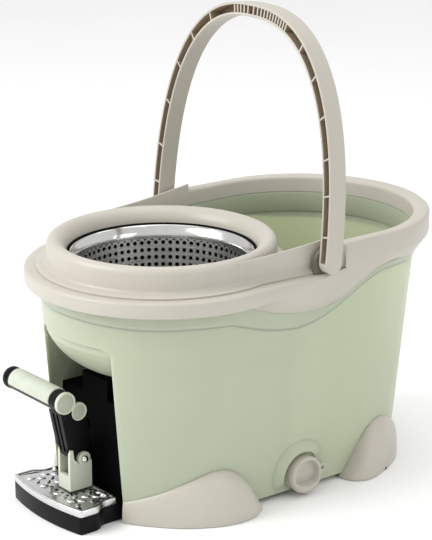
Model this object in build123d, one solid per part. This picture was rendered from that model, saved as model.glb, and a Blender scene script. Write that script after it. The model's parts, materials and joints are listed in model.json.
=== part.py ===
"""Spin mop bucket: an oval tub with a raised spin basket and a foot pedal that turns it.

Every piece is drawn in one working frame: the basket axis is the Z axis, the floor is Z = 0,
+Y runs from the basket to the wash well and +X is the side with the drain plug.  The export
step slides all pieces along Y, so that the origin lies under the middle of the whole object.
Millimetres throughout.
"""

import os
from math import cos, pi, radians, sin

from build123d import *

# ---------------------------------------------------------------- driving dimensions
# clearances
SEAT_GAP = 0.2            # between pieces of one body that sit on each other
MOVE_GAP = 0.6            # between pieces that move past each other
PIN_FIT = 0.06            # radial clearance of a pin or shaft in its bore

# tub
WALL = 2.5                # moulded wall of the tub
TUB_BOTTOM = 6.0          # height of the underside above the floor
TUB_TOP = 246.0           # height of the top edge of the wall
TUB_TOP_RADIUS = 129.4    # radius of both rounded ends at the top
TUB_LOW_RADIUS = 113.0    # radius of both rounded ends at the underside
WELL_SHIFT_TOP = 184.0    # rear end centre behind the basket axis, at the top
WELL_SHIFT_LOW = 176.0    # rear end centre behind the basket axis, at the underside
DIVIDER_GAP = 5.0         # between the drain bore and the wall of the drive bay

# basket
BASKET_RIM = 97.5         # radius of the rolled rim
BASKET_DEPTH = 94.0       # rolled rim to floor
BASKET_ROLL = 6.0         # how far the rolled rim stands out of the wall
BASKET_DRAW = 9.5         # how much the wall tapers in towards the floor
BASKET_SHEET = 1.2
HUB_DROP = 25.0           # basket floor above the underside of the bowl

# rim ring, cover and collar, with heights over the top of the tub wall
RIM_FRONT_OVER = 14.6     # how far the rim stands out round the front
RIM_REAR_OVER = 9.1       # and round the rear
RIM_REAR_SLIP = 8.5       # rear end centre of the rim behind that of the tub
RIM_WALL = 2.6
LEDGE_RISE = 2.0          # top of the low front half of the rim
SKIRT_DROP = 38.0         # lowest point of the skirt, under the handle
BAND_FRONT_DROP = 15.0    # bottom of the upright band, front half
BAND_REAR_RISE = 6.0      # bottom of the upright band, rear half
RIM_RISE = 30.0           # top of the raised rear half
STEP_BEHIND = 24.0        # where the rear half steps up, behind the handle pivot
COLLAR_INSET = 8.9        # outside of the collar inside the tub's top edge
COLLAR_GAP = 2.5          # between the basket's rim and the collar's lip
COLLAR_CREST_RISE = 31.0
COLLAR_LIP_RISE = 18.0
COLLAR_WALL = 2.8
DECK_SHORT = 19.5         # end of the deck before the rear half steps up
COVER_WALL_RISE = 41.0    # top of the cover's side walls where they meet the rear rim

# bowl under the basket, part of the tub moulding
BOWL_SIDE = 63.0          # width of the curved part round the flat middle
BOWL_MARGIN = 2.4         # bowl's edge inside the tub's top radius
BOWL_EDGE_DROP = 46.0     # bowl's edge below the top of the tub wall
BOWL_BACK = 112.0         # where the bowl ends over the wash well

# drive bay, the opening under the bowl that faces the foot
BAY_HALF = 60.0           # half width of the opening
BAY_DROP = 56.0           # top of the opening below the top of the tub wall
BAY_CORNER = 10.0

# handle
HANDLE_Y = 108.0          # pivot behind the basket axis
HANDLE_UP = 14.0          # pivot above the top of the tub wall
HANDLE_OVER = 19.6        # outside of the legs beyond the tub's top radius
HANDLE_RISE = 246.0       # pivot to the outside of the top
HANDLE_WIDTH = 22.0
HANDLE_LEG = 12.0         # thickness of the legs
HANDLE_CROWN = 14.0       # thickness at the top
HANDLE_SKIN = 2.4         # wall beside the open channel
HANDLE_POWER = 2.47       # exponent of the superellipse that the arch follows
HANDLE_LEAN = 5.0         # degrees behind upright, where it rests on the rear rim step
HANDLE_PIN = 5.0          # radius of the pivot pins

# drive
SPINDLE = 5.0             # radius of the upright spindle
CLUTCH_RING = 5.0         # thickness of the one-way clutch round the spindle
SHAFT = 3.0               # radius of the cross shaft and the long shaft
DRIVE_Z = 59.5            # height of the pedal pivot and of both shafts
MODULE = 2.0              # tooth size of every gear
PEDAL_X = 4.0             # middle of the pedal bracket
SECTOR_GAP = 8.0          # middle of the sector gear beyond the bracket's side
SECTOR_TEETH = 30         # of a full wheel of this size
SECTOR_LOW, SECTOR_HIGH = -84.0, 14.0  # degrees of toothed arc behind the pivot
PINION_TEETH = 10
MITRE_TEETH = 9           # the pair between cross shaft and long shaft
CROWN_TEETH = 24          # large bevel on the long shaft
SPINDLE_TEETH = 12        # bevel on the spindle
MITRE_FACE = 4.0          # length of a tooth along the cone
CROWN_FACE = 7.0
GEAR_WIDTH = 4.0

# drive housing
HOUSING_BEHIND = 25.0     # front of the housing behind the pedal pivot
HOUSING_BACK = 40.0
HOUSING_BOTTOM = 20.0
HOUSING_TOP = 118.0
TOWER_HALF = 22.0
HOUSING_WALL = 2.5
SCREW = 1.6               # radius of the housing screws
SCREW_LENGTH = 14.0       # either side of the seam

# pedal
BRACKET_HALF = 11.0       # half width over the bracket's side walls
BRACKET_AHEAD = 18.0      # front of the bracket before the pivot
BRACKET_BEHIND = 9.0
BRACKET_LIP = 43.0        # top of the low wall between the fingers
FINGER_TOP = 72.0
CHEEK = 3.5               # thickness of the bracket's side walls
PEDAL_PIN = 4.0
LEVER_REACH = 24.5        # radius round the pivot that the wide part of the lever stays out of
GRIP_Z = 125.0            # height of the foot bar's axis
GRIP_OUT = 12.9           # foot bar's axis in front of the tub wall
PIVOT_BEHIND = 21.0       # pedal pivot behind the foot bar's axis
GRIP_RADIUS = 11.6
HEEL_BEHIND = 16.0        # smaller rail behind and below the foot bar
HEEL_BELOW = 12.4
HEEL_RADIUS = 9.4
BAR_LEFT, BAR_RIGHT = -88.0, 15.0
CAP = 3.0                 # thickness of the end caps

# foot plate
PLATE_HALF = 62.0
PLATE_AHEAD = 16.5        # front corners of the plate before the foot bar's axis
PLATE_BULGE = 8.0         # how far the front edge bows out
PLATE_WAIST = 54.0        # half width behind the notch
NOTCH_BEHIND = 29.5       # notch behind the front corners
PLATE_BACK = 42.0
TREAD_DEPTH = 50.5
BASE_TOP = 19.5
TREAD_TOP = 27.0

# feet
FOOT_SPREAD = 28.0        # how far the feet stand out of the tub at the floor
FOOT_REACH = 10.0         # how far the feet reach in under the tub
FOOT_LIP = 3.9            # thickness of the feet at their top
FOOT_TOP = 66.0
FOOT_START, FOOT_END = -58.0, 11.0    # degrees from the +X axis, front right foot
PAD_HEIGHT = 3.0

# drain
DRAIN_Y = 94.0
DRAIN_Z = 24.0
DRAIN_RADIUS = 21.0
DRAIN_BORE = 9.0



def tub_radius(z):
    """Radius of the tub's rounded ends at one height."""
    part = (z - TUB_BOTTOM) / (TUB_TOP - TUB_BOTTOM)
    return TUB_LOW_RADIUS + part * (TUB_TOP_RADIUS - TUB_LOW_RADIUS)


# ---------------------------------------------------------------- derived sizes
GRIP_Y = -round(tub_radius(GRIP_Z) + GRIP_OUT, 1)
HEEL_Y = GRIP_Y + HEEL_BEHIND
HEEL_Z = GRIP_Z - HEEL_BELOW
PEDAL_Y = GRIP_Y + PIVOT_BEHIND
HOUSING_FRONT = PEDAL_Y + HOUSING_BEHIND
PLATE_FRONT = GRIP_Y - PLATE_AHEAD
PLATE_NOTCH_Y = PLATE_FRONT + NOTCH_BEHIND
TREAD_BACK = PLATE_FRONT + TREAD_DEPTH
RIM_FRONT_RADIUS = TUB_TOP_RADIUS + RIM_FRONT_OVER
RIM_REAR_RADIUS = TUB_TOP_RADIUS + RIM_REAR_OVER
RIM_REAR_SHIFT = WELL_SHIFT_TOP + RIM_REAR_SLIP
LEDGE_Z = TUB_TOP + LEDGE_RISE
SKIRT_LOW_Z = TUB_TOP - SKIRT_DROP
BAND_FRONT_Z = TUB_TOP - BAND_FRONT_DROP
BAND_REAR_Z = TUB_TOP + BAND_REAR_RISE
RIM_TOP = TUB_TOP + RIM_RISE
STEP_Y = HANDLE_Y + STEP_BEHIND
COLLAR_OUTER = TUB_TOP_RADIUS - COLLAR_INSET
COLLAR_LIP = BASKET_RIM + COLLAR_GAP
COLLAR_CREST = TUB_TOP + COLLAR_CREST_RISE
COLLAR_LIP_Z = TUB_TOP + COLLAR_LIP_RISE
COVER_WALL_TOP = TUB_TOP + COVER_WALL_RISE
COVER_SIDE = TUB_TOP_RADIUS - SEAT_GAP * 2
HANDLE_Z = TUB_TOP + HANDLE_UP
HANDLE_HALF = TUB_TOP_RADIUS + HANDLE_OVER
BASKET_TOP = HANDLE_Z
BASKET_FLOOR = BASKET_TOP - BASKET_DEPTH
BASKET_SHOULDER = BASKET_RIM - BASKET_ROLL
BASKET_LOW = BASKET_SHOULDER - BASKET_DRAW
BOWL_FLOOR = BASKET_FLOOR - HUB_DROP
BOWL_EDGE = TUB_TOP_RADIUS - BOWL_MARGIN
BOWL_EDGE_Z = TUB_TOP - BOWL_EDGE_DROP
BOWL_FLAT = BOWL_EDGE - BOWL_SIDE
BAY_TOP = TUB_TOP - BAY_DROP
CLUTCH_RADIUS = SPINDLE + CLUTCH_RING
SECTOR_X = PEDAL_X - BRACKET_HALF - SECTOR_GAP
BRACKET_FRONT = PEDAL_Y - BRACKET_AHEAD
BRACKET_BACK = PEDAL_Y + BRACKET_BEHIND
FOOT_FLARE = TUB_LOW_RADIUS + FOOT_SPREAD
FOOT_INSIDE = TUB_LOW_RADIUS - FOOT_REACH
RIM_END = RIM_REAR_SHIFT + RIM_REAR_RADIUS
PLATE_END = PLATE_FRONT - PLATE_BULGE
ORIGIN_SHIFT = -(RIM_END + PLATE_END) / 2
DIVIDER_Y = DRAIN_Y - DRAIN_BORE - DIVIDER_GAP
HOUSING_HALF = BAY_HALF - SEAT_GAP
TOWER_TOP = BOWL_FLOOR - SEAT_GAP
COUNTER_Y = PEDAL_Y + MODULE * (SECTOR_TEETH + PINION_TEETH) / 2
LEG_INSIDE = HANDLE_HALF - HANDLE_LEG
SKIRT_EDGE = [            # (y, z) of the rim ring's lower edge, as rises above its lowest point
    (y, SKIRT_LOW_Z + rise) for y, rise in (
        (-300, 19), (-10, 21), (17, 18), (41, 9), (74, 2), (104, 0), (123, 3), (142, 8),
        (152, 14), (167, 22), (186, 31), (400, 31))]

nodes = {}


def keep(name, shape):
    """Stores one node's shape, moved into the frame of the whole object."""
    nodes[name] = Pos(0, ORIGIN_SHIFT, 0) * shape


# ---------------------------------------------------------------- helpers
def stadium(front, rear, shift, grow=0.0):
    """Face of the oval round two circles: one on the basket axis, one behind it."""
    front, rear = front + grow, rear + grow
    tilt = (front - rear) / shift
    side = (1 - tilt * tilt) ** 0.5
    a = (front * side, front * tilt)
    b = (rear * side, shift + rear * tilt)
    edges = [
        Line(a, b),
        ThreePointArc(b, (0, shift + rear), (-b[0], b[1])),
        Line((-b[0], b[1]), (-a[0], a[1])),
        ThreePointArc((-a[0], a[1]), (0, -front), a),
    ]
    return make_face(Wire(edges))


def tub_oval(z, grow=0.0):
    """Tub outline at one height, as a face."""
    part = (z - TUB_BOTTOM) / (TUB_TOP - TUB_BOTTOM)
    shift = WELL_SHIFT_LOW + part * (WELL_SHIFT_TOP - WELL_SHIFT_LOW)
    return Pos(0, 0, z) * stadium(tub_radius(z), tub_radius(z), shift, grow)


def tub_body(low, high, grow=0.0):
    """Tapered oval block between two heights, following the tub wall."""
    return loft([tub_oval(low, grow), tub_oval(high, grow)], ruled=True)


def block(x0, x1, y0, y1, z0, z1):
    """Box between two corners."""
    size = Box(x1 - x0, y1 - y0, z1 - z0)
    return Pos((x0 + x1) / 2, (y0 + y1) / 2, (z0 + z1) / 2) * size


def disc(radius, z0, z1, x=0.0, y=0.0):
    """Upright cylinder."""
    return Pos(x, y, (z0 + z1) / 2) * Cylinder(radius, z1 - z0)


def rod(radius, x0, x1, y, z):
    """Cylinder along X."""
    return Pos((x0 + x1) / 2, y, z) * Rot(0, 90, 0) * Cylinder(radius, x1 - x0)


def turned(points):
    """Solid of revolution from (radius, z) corners."""
    outline = Polyline(*[(r, 0, z) for r, z in points], close=True)
    return revolve(make_face(outline), Axis.Z)


def side_plate(points, x0, x1):
    """Plate between two X values from (y, z) corners."""
    outline = make_face(Polyline(*[(0, y, z) for y, z in points], close=True))
    return Pos(x0, 0, 0) * extrude(outline, amount=x1 - x0, dir=(1, 0, 0))


def mirrored(shape):
    """The same shape on the other side of the middle plane."""
    return mirror(shape, about=Plane.YZ)


def gear_corners(teeth, depth=1.0, scale=1.0, phase=0.0):
    """Corners of a straight-sided gear outline, centred on the origin.

    depth stretches the teeth, as the end plane of a bevel gear needs, and scale shrinks
    the whole outline.
    """
    pitch = MODULE * teeth / 2
    root, tip = pitch - 1.15 * MODULE * depth, pitch + 0.7 * MODULE * depth
    step = 2 * pi / teeth
    corners = []
    for index in range(teeth):
        middle = phase + index * step
        for radius, turn in ((root, -0.25), (tip, -0.1), (tip, 0.1), (root, 0.25)):
            angle = middle + turn * step
            corners.append((scale * radius * cos(angle), scale * radius * sin(angle)))
    return corners


def spur_gear(teeth, x, y, bore, phase=0.0):
    """Spur gear on an X axis at drive height."""
    corners = [(y + u, DRIVE_Z + v) for u, v in gear_corners(teeth, phase=phase)]
    gear = side_plate(corners, x - GEAR_WIDTH / 2, x + GEAR_WIDTH / 2)
    return gear - rod(bore, x - GEAR_WIDTH, x + GEAR_WIDTH, y, DRIVE_Z)


def bevel_gear(teeth, mate, face, bore, phase=0.0, hub=3.0):
    """Bevel gear on the Z axis with its cone's tip at the origin, opening upwards."""
    radius, reach = MODULE * teeth / 2, MODULE * mate / 2
    slant = (radius ** 2 + reach ** 2) ** 0.5
    inner = 1 - face / slant
    ends = []
    for scale in (inner, 1.0):
        corners = gear_corners(teeth, slant / reach, scale, phase)
        ends.append(make_face(Polyline(*[(x, y, reach * scale) for x, y in corners], close=True)))
    gear = loft(ends, ruled=True)
    gear += disc(bore + hub, reach * inner, reach + hub)
    return gear - disc(bore, reach * inner - 1, reach + hub + 1)


# ---------------------------------------------------------------- tub
def bowl_solid(drop):
    """Solid below the bowl's surface, lowered by drop from the outer surface."""
    floor = BOWL_FLOOR - drop
    edge = BOWL_EDGE_Z - drop
    rim = BOWL_EDGE + drop
    middle = (BOWL_FLAT + 0.66 * (rim - BOWL_FLAT), floor + 0.28 * (edge - floor))
    profile = Wire([
        Line((0, 0, edge), (0, 0, floor)),
        Line((0, 0, floor), (BOWL_FLAT, 0, floor)),
        ThreePointArc((BOWL_FLAT, 0, floor), (middle[0], 0, middle[1]), (rim, 0, edge)),
        Line((rim, 0, edge), (0, 0, edge)),
    ])
    return revolve(make_face(profile), Axis.Z)


def bay_cutter():
    """Round-cornered prism through the front wall, as wide as the drive bay."""
    face = RectangleRounded(2 * BAY_HALF, 2 * BAY_TOP, BAY_CORNER)
    return extrude(Plane.XZ.offset(60) * face, amount=120)


def make_tub():
    """Green moulding: wall, wash well floor, divider, bowl and drive bay walls."""
    outer = tub_body(TUB_BOTTOM, TUB_TOP)
    inner = tub_body(TUB_BOTTOM - 1, TUB_TOP + 1, -WALL)
    tub = outer - inner - bay_cutter()
    tub += inner & block(-200, 200, DIVIDER_Y, 400, TUB_BOTTOM, TUB_BOTTOM + WALL)
    bowl = bowl_solid(0) - bowl_solid(-WALL)
    bowl -= block(-200, 200, BOWL_BACK, 400, 0, 400)
    tub += bowl & inner
    under = inner - bowl_solid(-WALL / 2)
    divider = block(-200, 200, DIVIDER_Y - WALL, DIVIDER_Y, TUB_BOTTOM, BOWL_EDGE_Z)
    tub += divider & under
    cheek = block(BAY_HALF, BAY_HALF + WALL, -140, DIVIDER_Y - WALL / 2, TUB_BOTTOM, BOWL_EDGE_Z)
    tub += cheek & under
    tub += mirrored(cheek) & under
    tub -= disc(SPINDLE * 2 + PIN_FIT, BOWL_FLOOR - 5, BOWL_FLOOR + 10)
    tub -= rod(DRAIN_BORE, 90, 140, DRAIN_Y, DRAIN_Z)
    return tub


# ---------------------------------------------------------------- rim, cover
def skirt_under():
    """Everything below the rim ring's lower edge, which dips under the handle."""
    return side_plate([(-300, 0)] + SKIRT_EDGE + [(400, 0)], -300, 300)


def make_rim():
    """Beige ring that caps the tub's edge: low at the front, raised round the wash well."""
    lean = BAND_FRONT_Z - SKIRT_LOW_Z
    front = RIM_FRONT_RADIUS
    top = Pos(0, 0, BAND_REAR_Z) * stadium(front, RIM_REAR_RADIUS, RIM_REAR_SHIFT)
    low = Pos(0, 0, BAND_REAR_Z - 2.2 * lean) * stadium(
        front - 1.9 * lean, RIM_REAR_RADIUS - 1.0 * lean, RIM_REAR_SHIFT - 6)
    taper = loft([low, top], ruled=True)
    band = extrude(Pos(0, 0, BAND_FRONT_Z) * stadium(front, RIM_REAR_RADIUS, RIM_REAR_SHIFT),
                   amount=RIM_TOP - BAND_FRONT_Z)
    chamfer_zone = block(-300, 300, HANDLE_Y, 400, 0, BAND_REAR_Z)
    ring = taper_front() + (band - chamfer_zone) + (taper & chamfer_zone)
    ring -= block(-300, 300, -300, STEP_Y, LEDGE_Z, 400)
    ring -= skirt_under()
    ring -= tub_body(TUB_BOTTOM, TUB_TOP, SEAT_GAP)
    ring -= tub_body(TUB_BOTTOM, 400, -WALL - RIM_WALL)
    hollow = extrude(Pos(0, 0, TUB_TOP - 1) * stadium(
        front - RIM_WALL, RIM_REAR_RADIUS - RIM_WALL, RIM_REAR_SHIFT),
        amount=RIM_TOP - RIM_WALL - TUB_TOP + 1)
    hollow -= tub_body(TUB_BOTTOM, 400, -WALL)
    return ring - (hollow & block(-300, 300, STEP_Y + RIM_WALL, 400, 0, 400))


def taper_front():
    """Front of the skirt, leaning in under the upright band."""
    low_oval = stadium(TUB_TOP_RADIUS - 2, TUB_TOP_RADIUS - 2, WELL_SHIFT_TOP)
    top_oval = stadium(RIM_FRONT_RADIUS, RIM_REAR_RADIUS, RIM_REAR_SHIFT)
    ends = [Pos(0, 0, SKIRT_LOW_Z - 2) * low_oval, Pos(0, 0, BAND_FRONT_Z) * top_oval]
    return loft(ends, ruled=True) & block(-300, 300, -300, HANDLE_Y, 0, 400)


def make_pivot_lug():
    """Ear on the rim ring that carries the right handle pin."""
    x0, x1 = TUB_TOP_RADIUS + 1.2, LEG_INSIDE - MOVE_GAP
    width = HANDLE_WIDTH / 2 + 1
    lug = block(x0, x1, HANDLE_Y - width, HANDLE_Y + width, LEDGE_Z - 3, HANDLE_Z)
    lug += rod(width, x0, x1, HANDLE_Y, HANDLE_Z)
    return lug - rod(HANDLE_PIN + PIN_FIT, x0 - 1, x1 + 1, HANDLE_Y, HANDLE_Z)


def make_cover():
    """Collar round the basket with its deck and the two side walls beside the wash well."""
    crest = (COLLAR_LIP + COLLAR_OUTER) / 2
    outer = Wire([
        Line((COLLAR_OUTER, 0, LEDGE_Z), (COLLAR_OUTER, 0, COLLAR_CREST - 8)),
        ThreePointArc((COLLAR_OUTER, 0, COLLAR_CREST - 8), (crest + 4, 0, COLLAR_CREST),
                      (COLLAR_LIP, 0, COLLAR_LIP_Z)),
        Line((COLLAR_LIP, 0, COLLAR_LIP_Z), (COLLAR_LIP, 0, LEDGE_Z)),
        Line((COLLAR_LIP, 0, LEDGE_Z), (COLLAR_OUTER, 0, LEDGE_Z)),
    ])
    collar = revolve(make_face(outer), Axis.Z)
    hollow = Wire([
        Line((COLLAR_OUTER - COLLAR_WALL, 0, LEDGE_Z - 1),
             (COLLAR_OUTER - COLLAR_WALL, 0, COLLAR_CREST - 9)),
        ThreePointArc((COLLAR_OUTER - COLLAR_WALL, 0, COLLAR_CREST - 9),
                      (crest + 3, 0, COLLAR_CREST - COLLAR_WALL),
                      (COLLAR_LIP + COLLAR_WALL, 0, COLLAR_LIP_Z - COLLAR_WALL / 2)),
        Line((COLLAR_LIP + COLLAR_WALL, 0, COLLAR_LIP_Z - COLLAR_WALL / 2),
             (COLLAR_LIP + COLLAR_WALL, 0, LEDGE_Z - 1)),
        Line((COLLAR_LIP + COLLAR_WALL, 0, LEDGE_Z - 1),
             (COLLAR_OUTER - COLLAR_WALL, 0, LEDGE_Z - 1)),
    ])
    collar -= revolve(make_face(hollow), Axis.Z)
    deck_oval = stadium(COLLAR_OUTER, COVER_SIDE, STEP_Y)
    deck = extrude(Pos(0, 0, LEDGE_Z + SEAT_GAP) * deck_oval, amount=COLLAR_WALL)
    deck -= block(-300, 300, STEP_Y - DECK_SHORT, 400, 0, 400)
    flange = disc(TUB_TOP_RADIUS + 2, LEDGE_Z + SEAT_GAP, LEDGE_Z + SEAT_GAP + COLLAR_WALL)
    deck += flange & block(-300, 300, -300, 0, 0, 400)
    walls = extrude(Pos(0, 0, LEDGE_Z + SEAT_GAP) * deck_oval, amount=COVER_WALL_TOP - LEDGE_Z)
    walls -= extrude(Pos(0, 0, LEDGE_Z) * stadium(COLLAR_OUTER, COVER_SIDE, STEP_Y, -COLLAR_WALL),
                     amount=100)
    walls &= block(-300, 300, 0, STEP_Y - SEAT_GAP, 0, 400)
    slope = [(-10, COLLAR_CREST - 2), (STEP_Y, COVER_WALL_TOP), (STEP_Y, 400), (-10, 400)]
    walls -= side_plate(slope, -300, 300)
    cover = deck + walls
    cover -= disc(COLLAR_OUTER - COLLAR_WALL / 2, 0, 400)
    return cover + (collar & block(-300, 300, -300, 300, LEDGE_Z + SEAT_GAP, 400))


# ---------------------------------------------------------------- handle
def arch_points(half, rise, count=12):
    """Points of a superellipse arch from one foot to the other, in the XZ plane."""
    points = []
    for index in range(count + 1):
        angle = pi * index / count
        side = 1 if cos(angle) >= 0 else -1
        across = half * side * abs(cos(angle)) ** (2 / HANDLE_POWER)
        points.append((across, 0, rise * sin(angle) ** (2 / HANDLE_POWER)))
    return points


def arch_face(half, rise, foot=1.0):
    """Face under one superellipse arch, with straight feet below the pivot."""
    points = arch_points(half, rise)
    arch = Spline(*points, tangents=[(0, 0, 1), (0, 0, -1)])
    legs = [Line((-half, 0, 0), (-half, 0, -foot)), Line((-half, 0, -foot), (half, 0, -foot)),
            Line((half, 0, -foot), (half, 0, 0))]
    return make_face(Wire([arch] + legs))


def arch_solid(half, rise, width, foot=1.0):
    """Arch face thickened along Y, centred on the pivot plane."""
    return extrude(arch_face(half, rise, foot), amount=width / 2, both=True, dir=(0, 1, 0))


def make_handle():
    """Bail with its channel open to the front, standing at its resting lean."""
    width, half, rise = HANDLE_WIDTH, HANDLE_HALF, HANDLE_RISE
    end = width / 2
    bail = arch_solid(half, rise, width, end)
    bail -= arch_solid(LEG_INSIDE, rise - HANDLE_CROWN, width + 2, end + 1)
    for x0, x1 in ((LEG_INSIDE - 1, half + 1), (-half - 1, -LEG_INSIDE + 1)):
        square = block(x0, x1, -width, width, -end - 1, 0)
        bail -= square - rod(end, x0, x1, 0, 0)
    skin = HANDLE_SKIN
    channel = arch_solid(half - skin, rise - skin, width)
    channel -= arch_solid(LEG_INSIDE + skin, rise - HANDLE_CROWN + skin, width + 2, 3)
    channel &= block(-300, 300, -width, end - 2 * skin, -2, 400)
    bail -= Pos(0, -skin / 2, 0) * channel
    for x0, x1 in ((0, half - skin), (-half + skin, 0)):
        bail -= rod(HANDLE_PIN + PIN_FIT, x0, x1, 0, 0)
    return Pos(0, HANDLE_Y, HANDLE_Z) * Rot(-HANDLE_LEAN, 0, 0) * bail


def make_handle_pins():
    """Two pegs that the handle swings on."""
    pin = rod(HANDLE_PIN, TUB_TOP_RADIUS + 1.6, HANDLE_HALF - HANDLE_SKIN - MOVE_GAP,
              HANDLE_Y, HANDLE_Z)
    return Compound(children=[pin, mirrored(pin)])


# ---------------------------------------------------------------- basket
def make_basket():
    """Steel basket with a rolled rim and a flat floor."""
    sheet = BASKET_SHEET
    roll = BASKET_RIM - BASKET_SHOULDER
    return turned([
        (SPINDLE + 3, BASKET_FLOOR), (BASKET_LOW - 4, BASKET_FLOOR),
        (BASKET_LOW, BASKET_FLOOR + 4), (BASKET_SHOULDER, BASKET_TOP - roll),
        (BASKET_RIM, BASKET_TOP - 2), (BASKET_RIM, BASKET_TOP),
        (BASKET_RIM - 2 * sheet, BASKET_TOP), (BASKET_SHOULDER - sheet, BASKET_TOP - roll + 1),
        (BASKET_LOW - sheet, BASKET_FLOOR + 4 + sheet),
        (BASKET_LOW - 4 - sheet, BASKET_FLOOR + sheet), (SPINDLE + 3, BASKET_FLOOR + sheet),
    ])


def make_basket_seat():
    """Moulded seat on the basket floor with the post that centres the mop head."""
    z0 = BASKET_FLOOR + BASKET_SHEET
    return turned([
        (SPINDLE + PIN_FIT, z0), (34, z0), (34, z0 + 5), (30, z0 + 8), (14, z0 + 10),
        (12, z0 + 30), (SPINDLE + PIN_FIT, z0 + 30),
    ])


def make_basket_hub():
    """Drive hub under the basket floor, hollow below for the clutch drum."""
    top = BASKET_FLOOR
    cup = CLUTCH_RADIUS + MOVE_GAP
    return turned([
        (cup, top - 12), (16, top - 12), (24, top - 3), (24, top), (SPINDLE + 3, top),
        (SPINDLE + 3, top + BASKET_SHEET), (SPINDLE + PIN_FIT, top + BASKET_SHEET),
        (SPINDLE + PIN_FIT, top - 3), (cup, top - 3),
    ])


def make_basket_screw():
    """Washer-head screw that closes the top of the post."""
    z0 = BASKET_FLOOR + BASKET_SHEET + 30
    return disc(9, z0, z0 + 2.5) - disc(2, z0 + 1, z0 + 3)


# ---------------------------------------------------------------- drive train
def make_spindle():
    """Upright spindle from the foot of the housing to the basket post."""
    return disc(SPINDLE, DRIVE_Z + 12, BASKET_FLOOR + BASKET_SHEET + 29)


def make_spindle_bevel():
    """Bevel fixed low on the spindle."""
    phase = pi / 2 + pi / SPINDLE_TEETH
    gear = bevel_gear(SPINDLE_TEETH, CROWN_TEETH, CROWN_FACE, SPINDLE, phase, 2.2)
    return Pos(0, 0, DRIVE_Z) * gear


def make_clutch():
    """One-way clutch drum between spindle and basket hub."""
    top = BASKET_FLOOR - 3 - MOVE_GAP
    return disc(CLUTCH_RADIUS, top - 8, top) - disc(SPINDLE, 0, 300)


def make_well_bush():
    """Sealed bush in the floor of the bowl."""
    bush = disc(2 * SPINDLE, BOWL_FLOOR, BOWL_FLOOR + 8)
    bush += disc(2 * SPINDLE + 4, BOWL_FLOOR + WALL + SEAT_GAP, BOWL_FLOOR + 5)
    return bush - disc(SPINDLE + PIN_FIT, 0, 300)


def make_crown():
    """Large bevel on the long shaft, facing the spindle."""
    gear = bevel_gear(CROWN_TEETH, SPINDLE_TEETH, CROWN_FACE, SHAFT, pi / 2)
    return Pos(0, 0, DRIVE_Z) * Rot(90, 0, 0) * gear


def make_long_mitre():
    """Small bevel at the front of the long shaft."""
    gear = bevel_gear(MITRE_TEETH, MITRE_TEETH, MITRE_FACE, SHAFT)
    return Pos(0, COUNTER_Y, DRIVE_Z) * Rot(-90, 0, 0) * gear


def make_cross_mitre():
    """Small bevel on the cross shaft."""
    gear = bevel_gear(MITRE_TEETH, MITRE_TEETH, MITRE_FACE, SHAFT, pi / 2)
    return Pos(0, COUNTER_Y, DRIVE_Z) * Rot(0, -90, 0) * gear


def make_long_shaft():
    """Shaft along Y between the two bevel pairs."""
    y0, y1 = COUNTER_Y + 2 * SHAFT, -MODULE * SPINDLE_TEETH / 4
    return Pos(0, (y0 + y1) / 2, DRIVE_Z) * Rot(90, 0, 0) * Cylinder(SHAFT, y1 - y0)


def make_cross_shaft():
    """Shaft along X that carries the pinion."""
    return rod(SHAFT, SECTOR_X - 8, -SHAFT - 1.5, COUNTER_Y, DRIVE_Z)


def make_pinion():
    """Pinion in mesh with the lever's sector gear."""
    return spur_gear(PINION_TEETH, SECTOR_X, COUNTER_Y, SHAFT, pi + pi / PINION_TEETH)


def make_sector():
    """Sector gear keyed to the pedal pin."""
    full = spur_gear(SECTOR_TEETH, SECTOR_X, PEDAL_Y, PEDAL_PIN)
    wedge = [(PEDAL_Y, DRIVE_Z)]
    for angle in (SECTOR_LOW, (SECTOR_LOW + SECTOR_HIGH) / 2, SECTOR_HIGH):
        wedge.append((PEDAL_Y + 60 * cos(radians(angle)), DRIVE_Z + 60 * sin(radians(angle))))
    sector = full & side_plate(wedge, SECTOR_X - 10, SECTOR_X + 10)
    half = GEAR_WIDTH / 2
    hub = rod(PEDAL_PIN + 4, SECTOR_X - half, SECTOR_X + half, PEDAL_Y, DRIVE_Z)
    return (sector + hub) - rod(PEDAL_PIN, SECTOR_X - 10, SECTOR_X + 10, PEDAL_Y, DRIVE_Z)


# ---------------------------------------------------------------- housing
def housing_outside(skin):
    """Housing block with its tower, each face moved in by skin."""
    wide = block(-HOUSING_HALF + skin, HOUSING_HALF - skin, HOUSING_FRONT + skin,
                 HOUSING_BACK - skin, HOUSING_BOTTOM + skin, HOUSING_TOP - skin)
    tower = block(-TOWER_HALF + skin, TOWER_HALF - skin, HOUSING_FRONT + skin,
                  HOUSING_BACK - 10 - skin, HOUSING_BOTTOM + skin, TOWER_TOP - skin)
    return wide + tower


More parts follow.
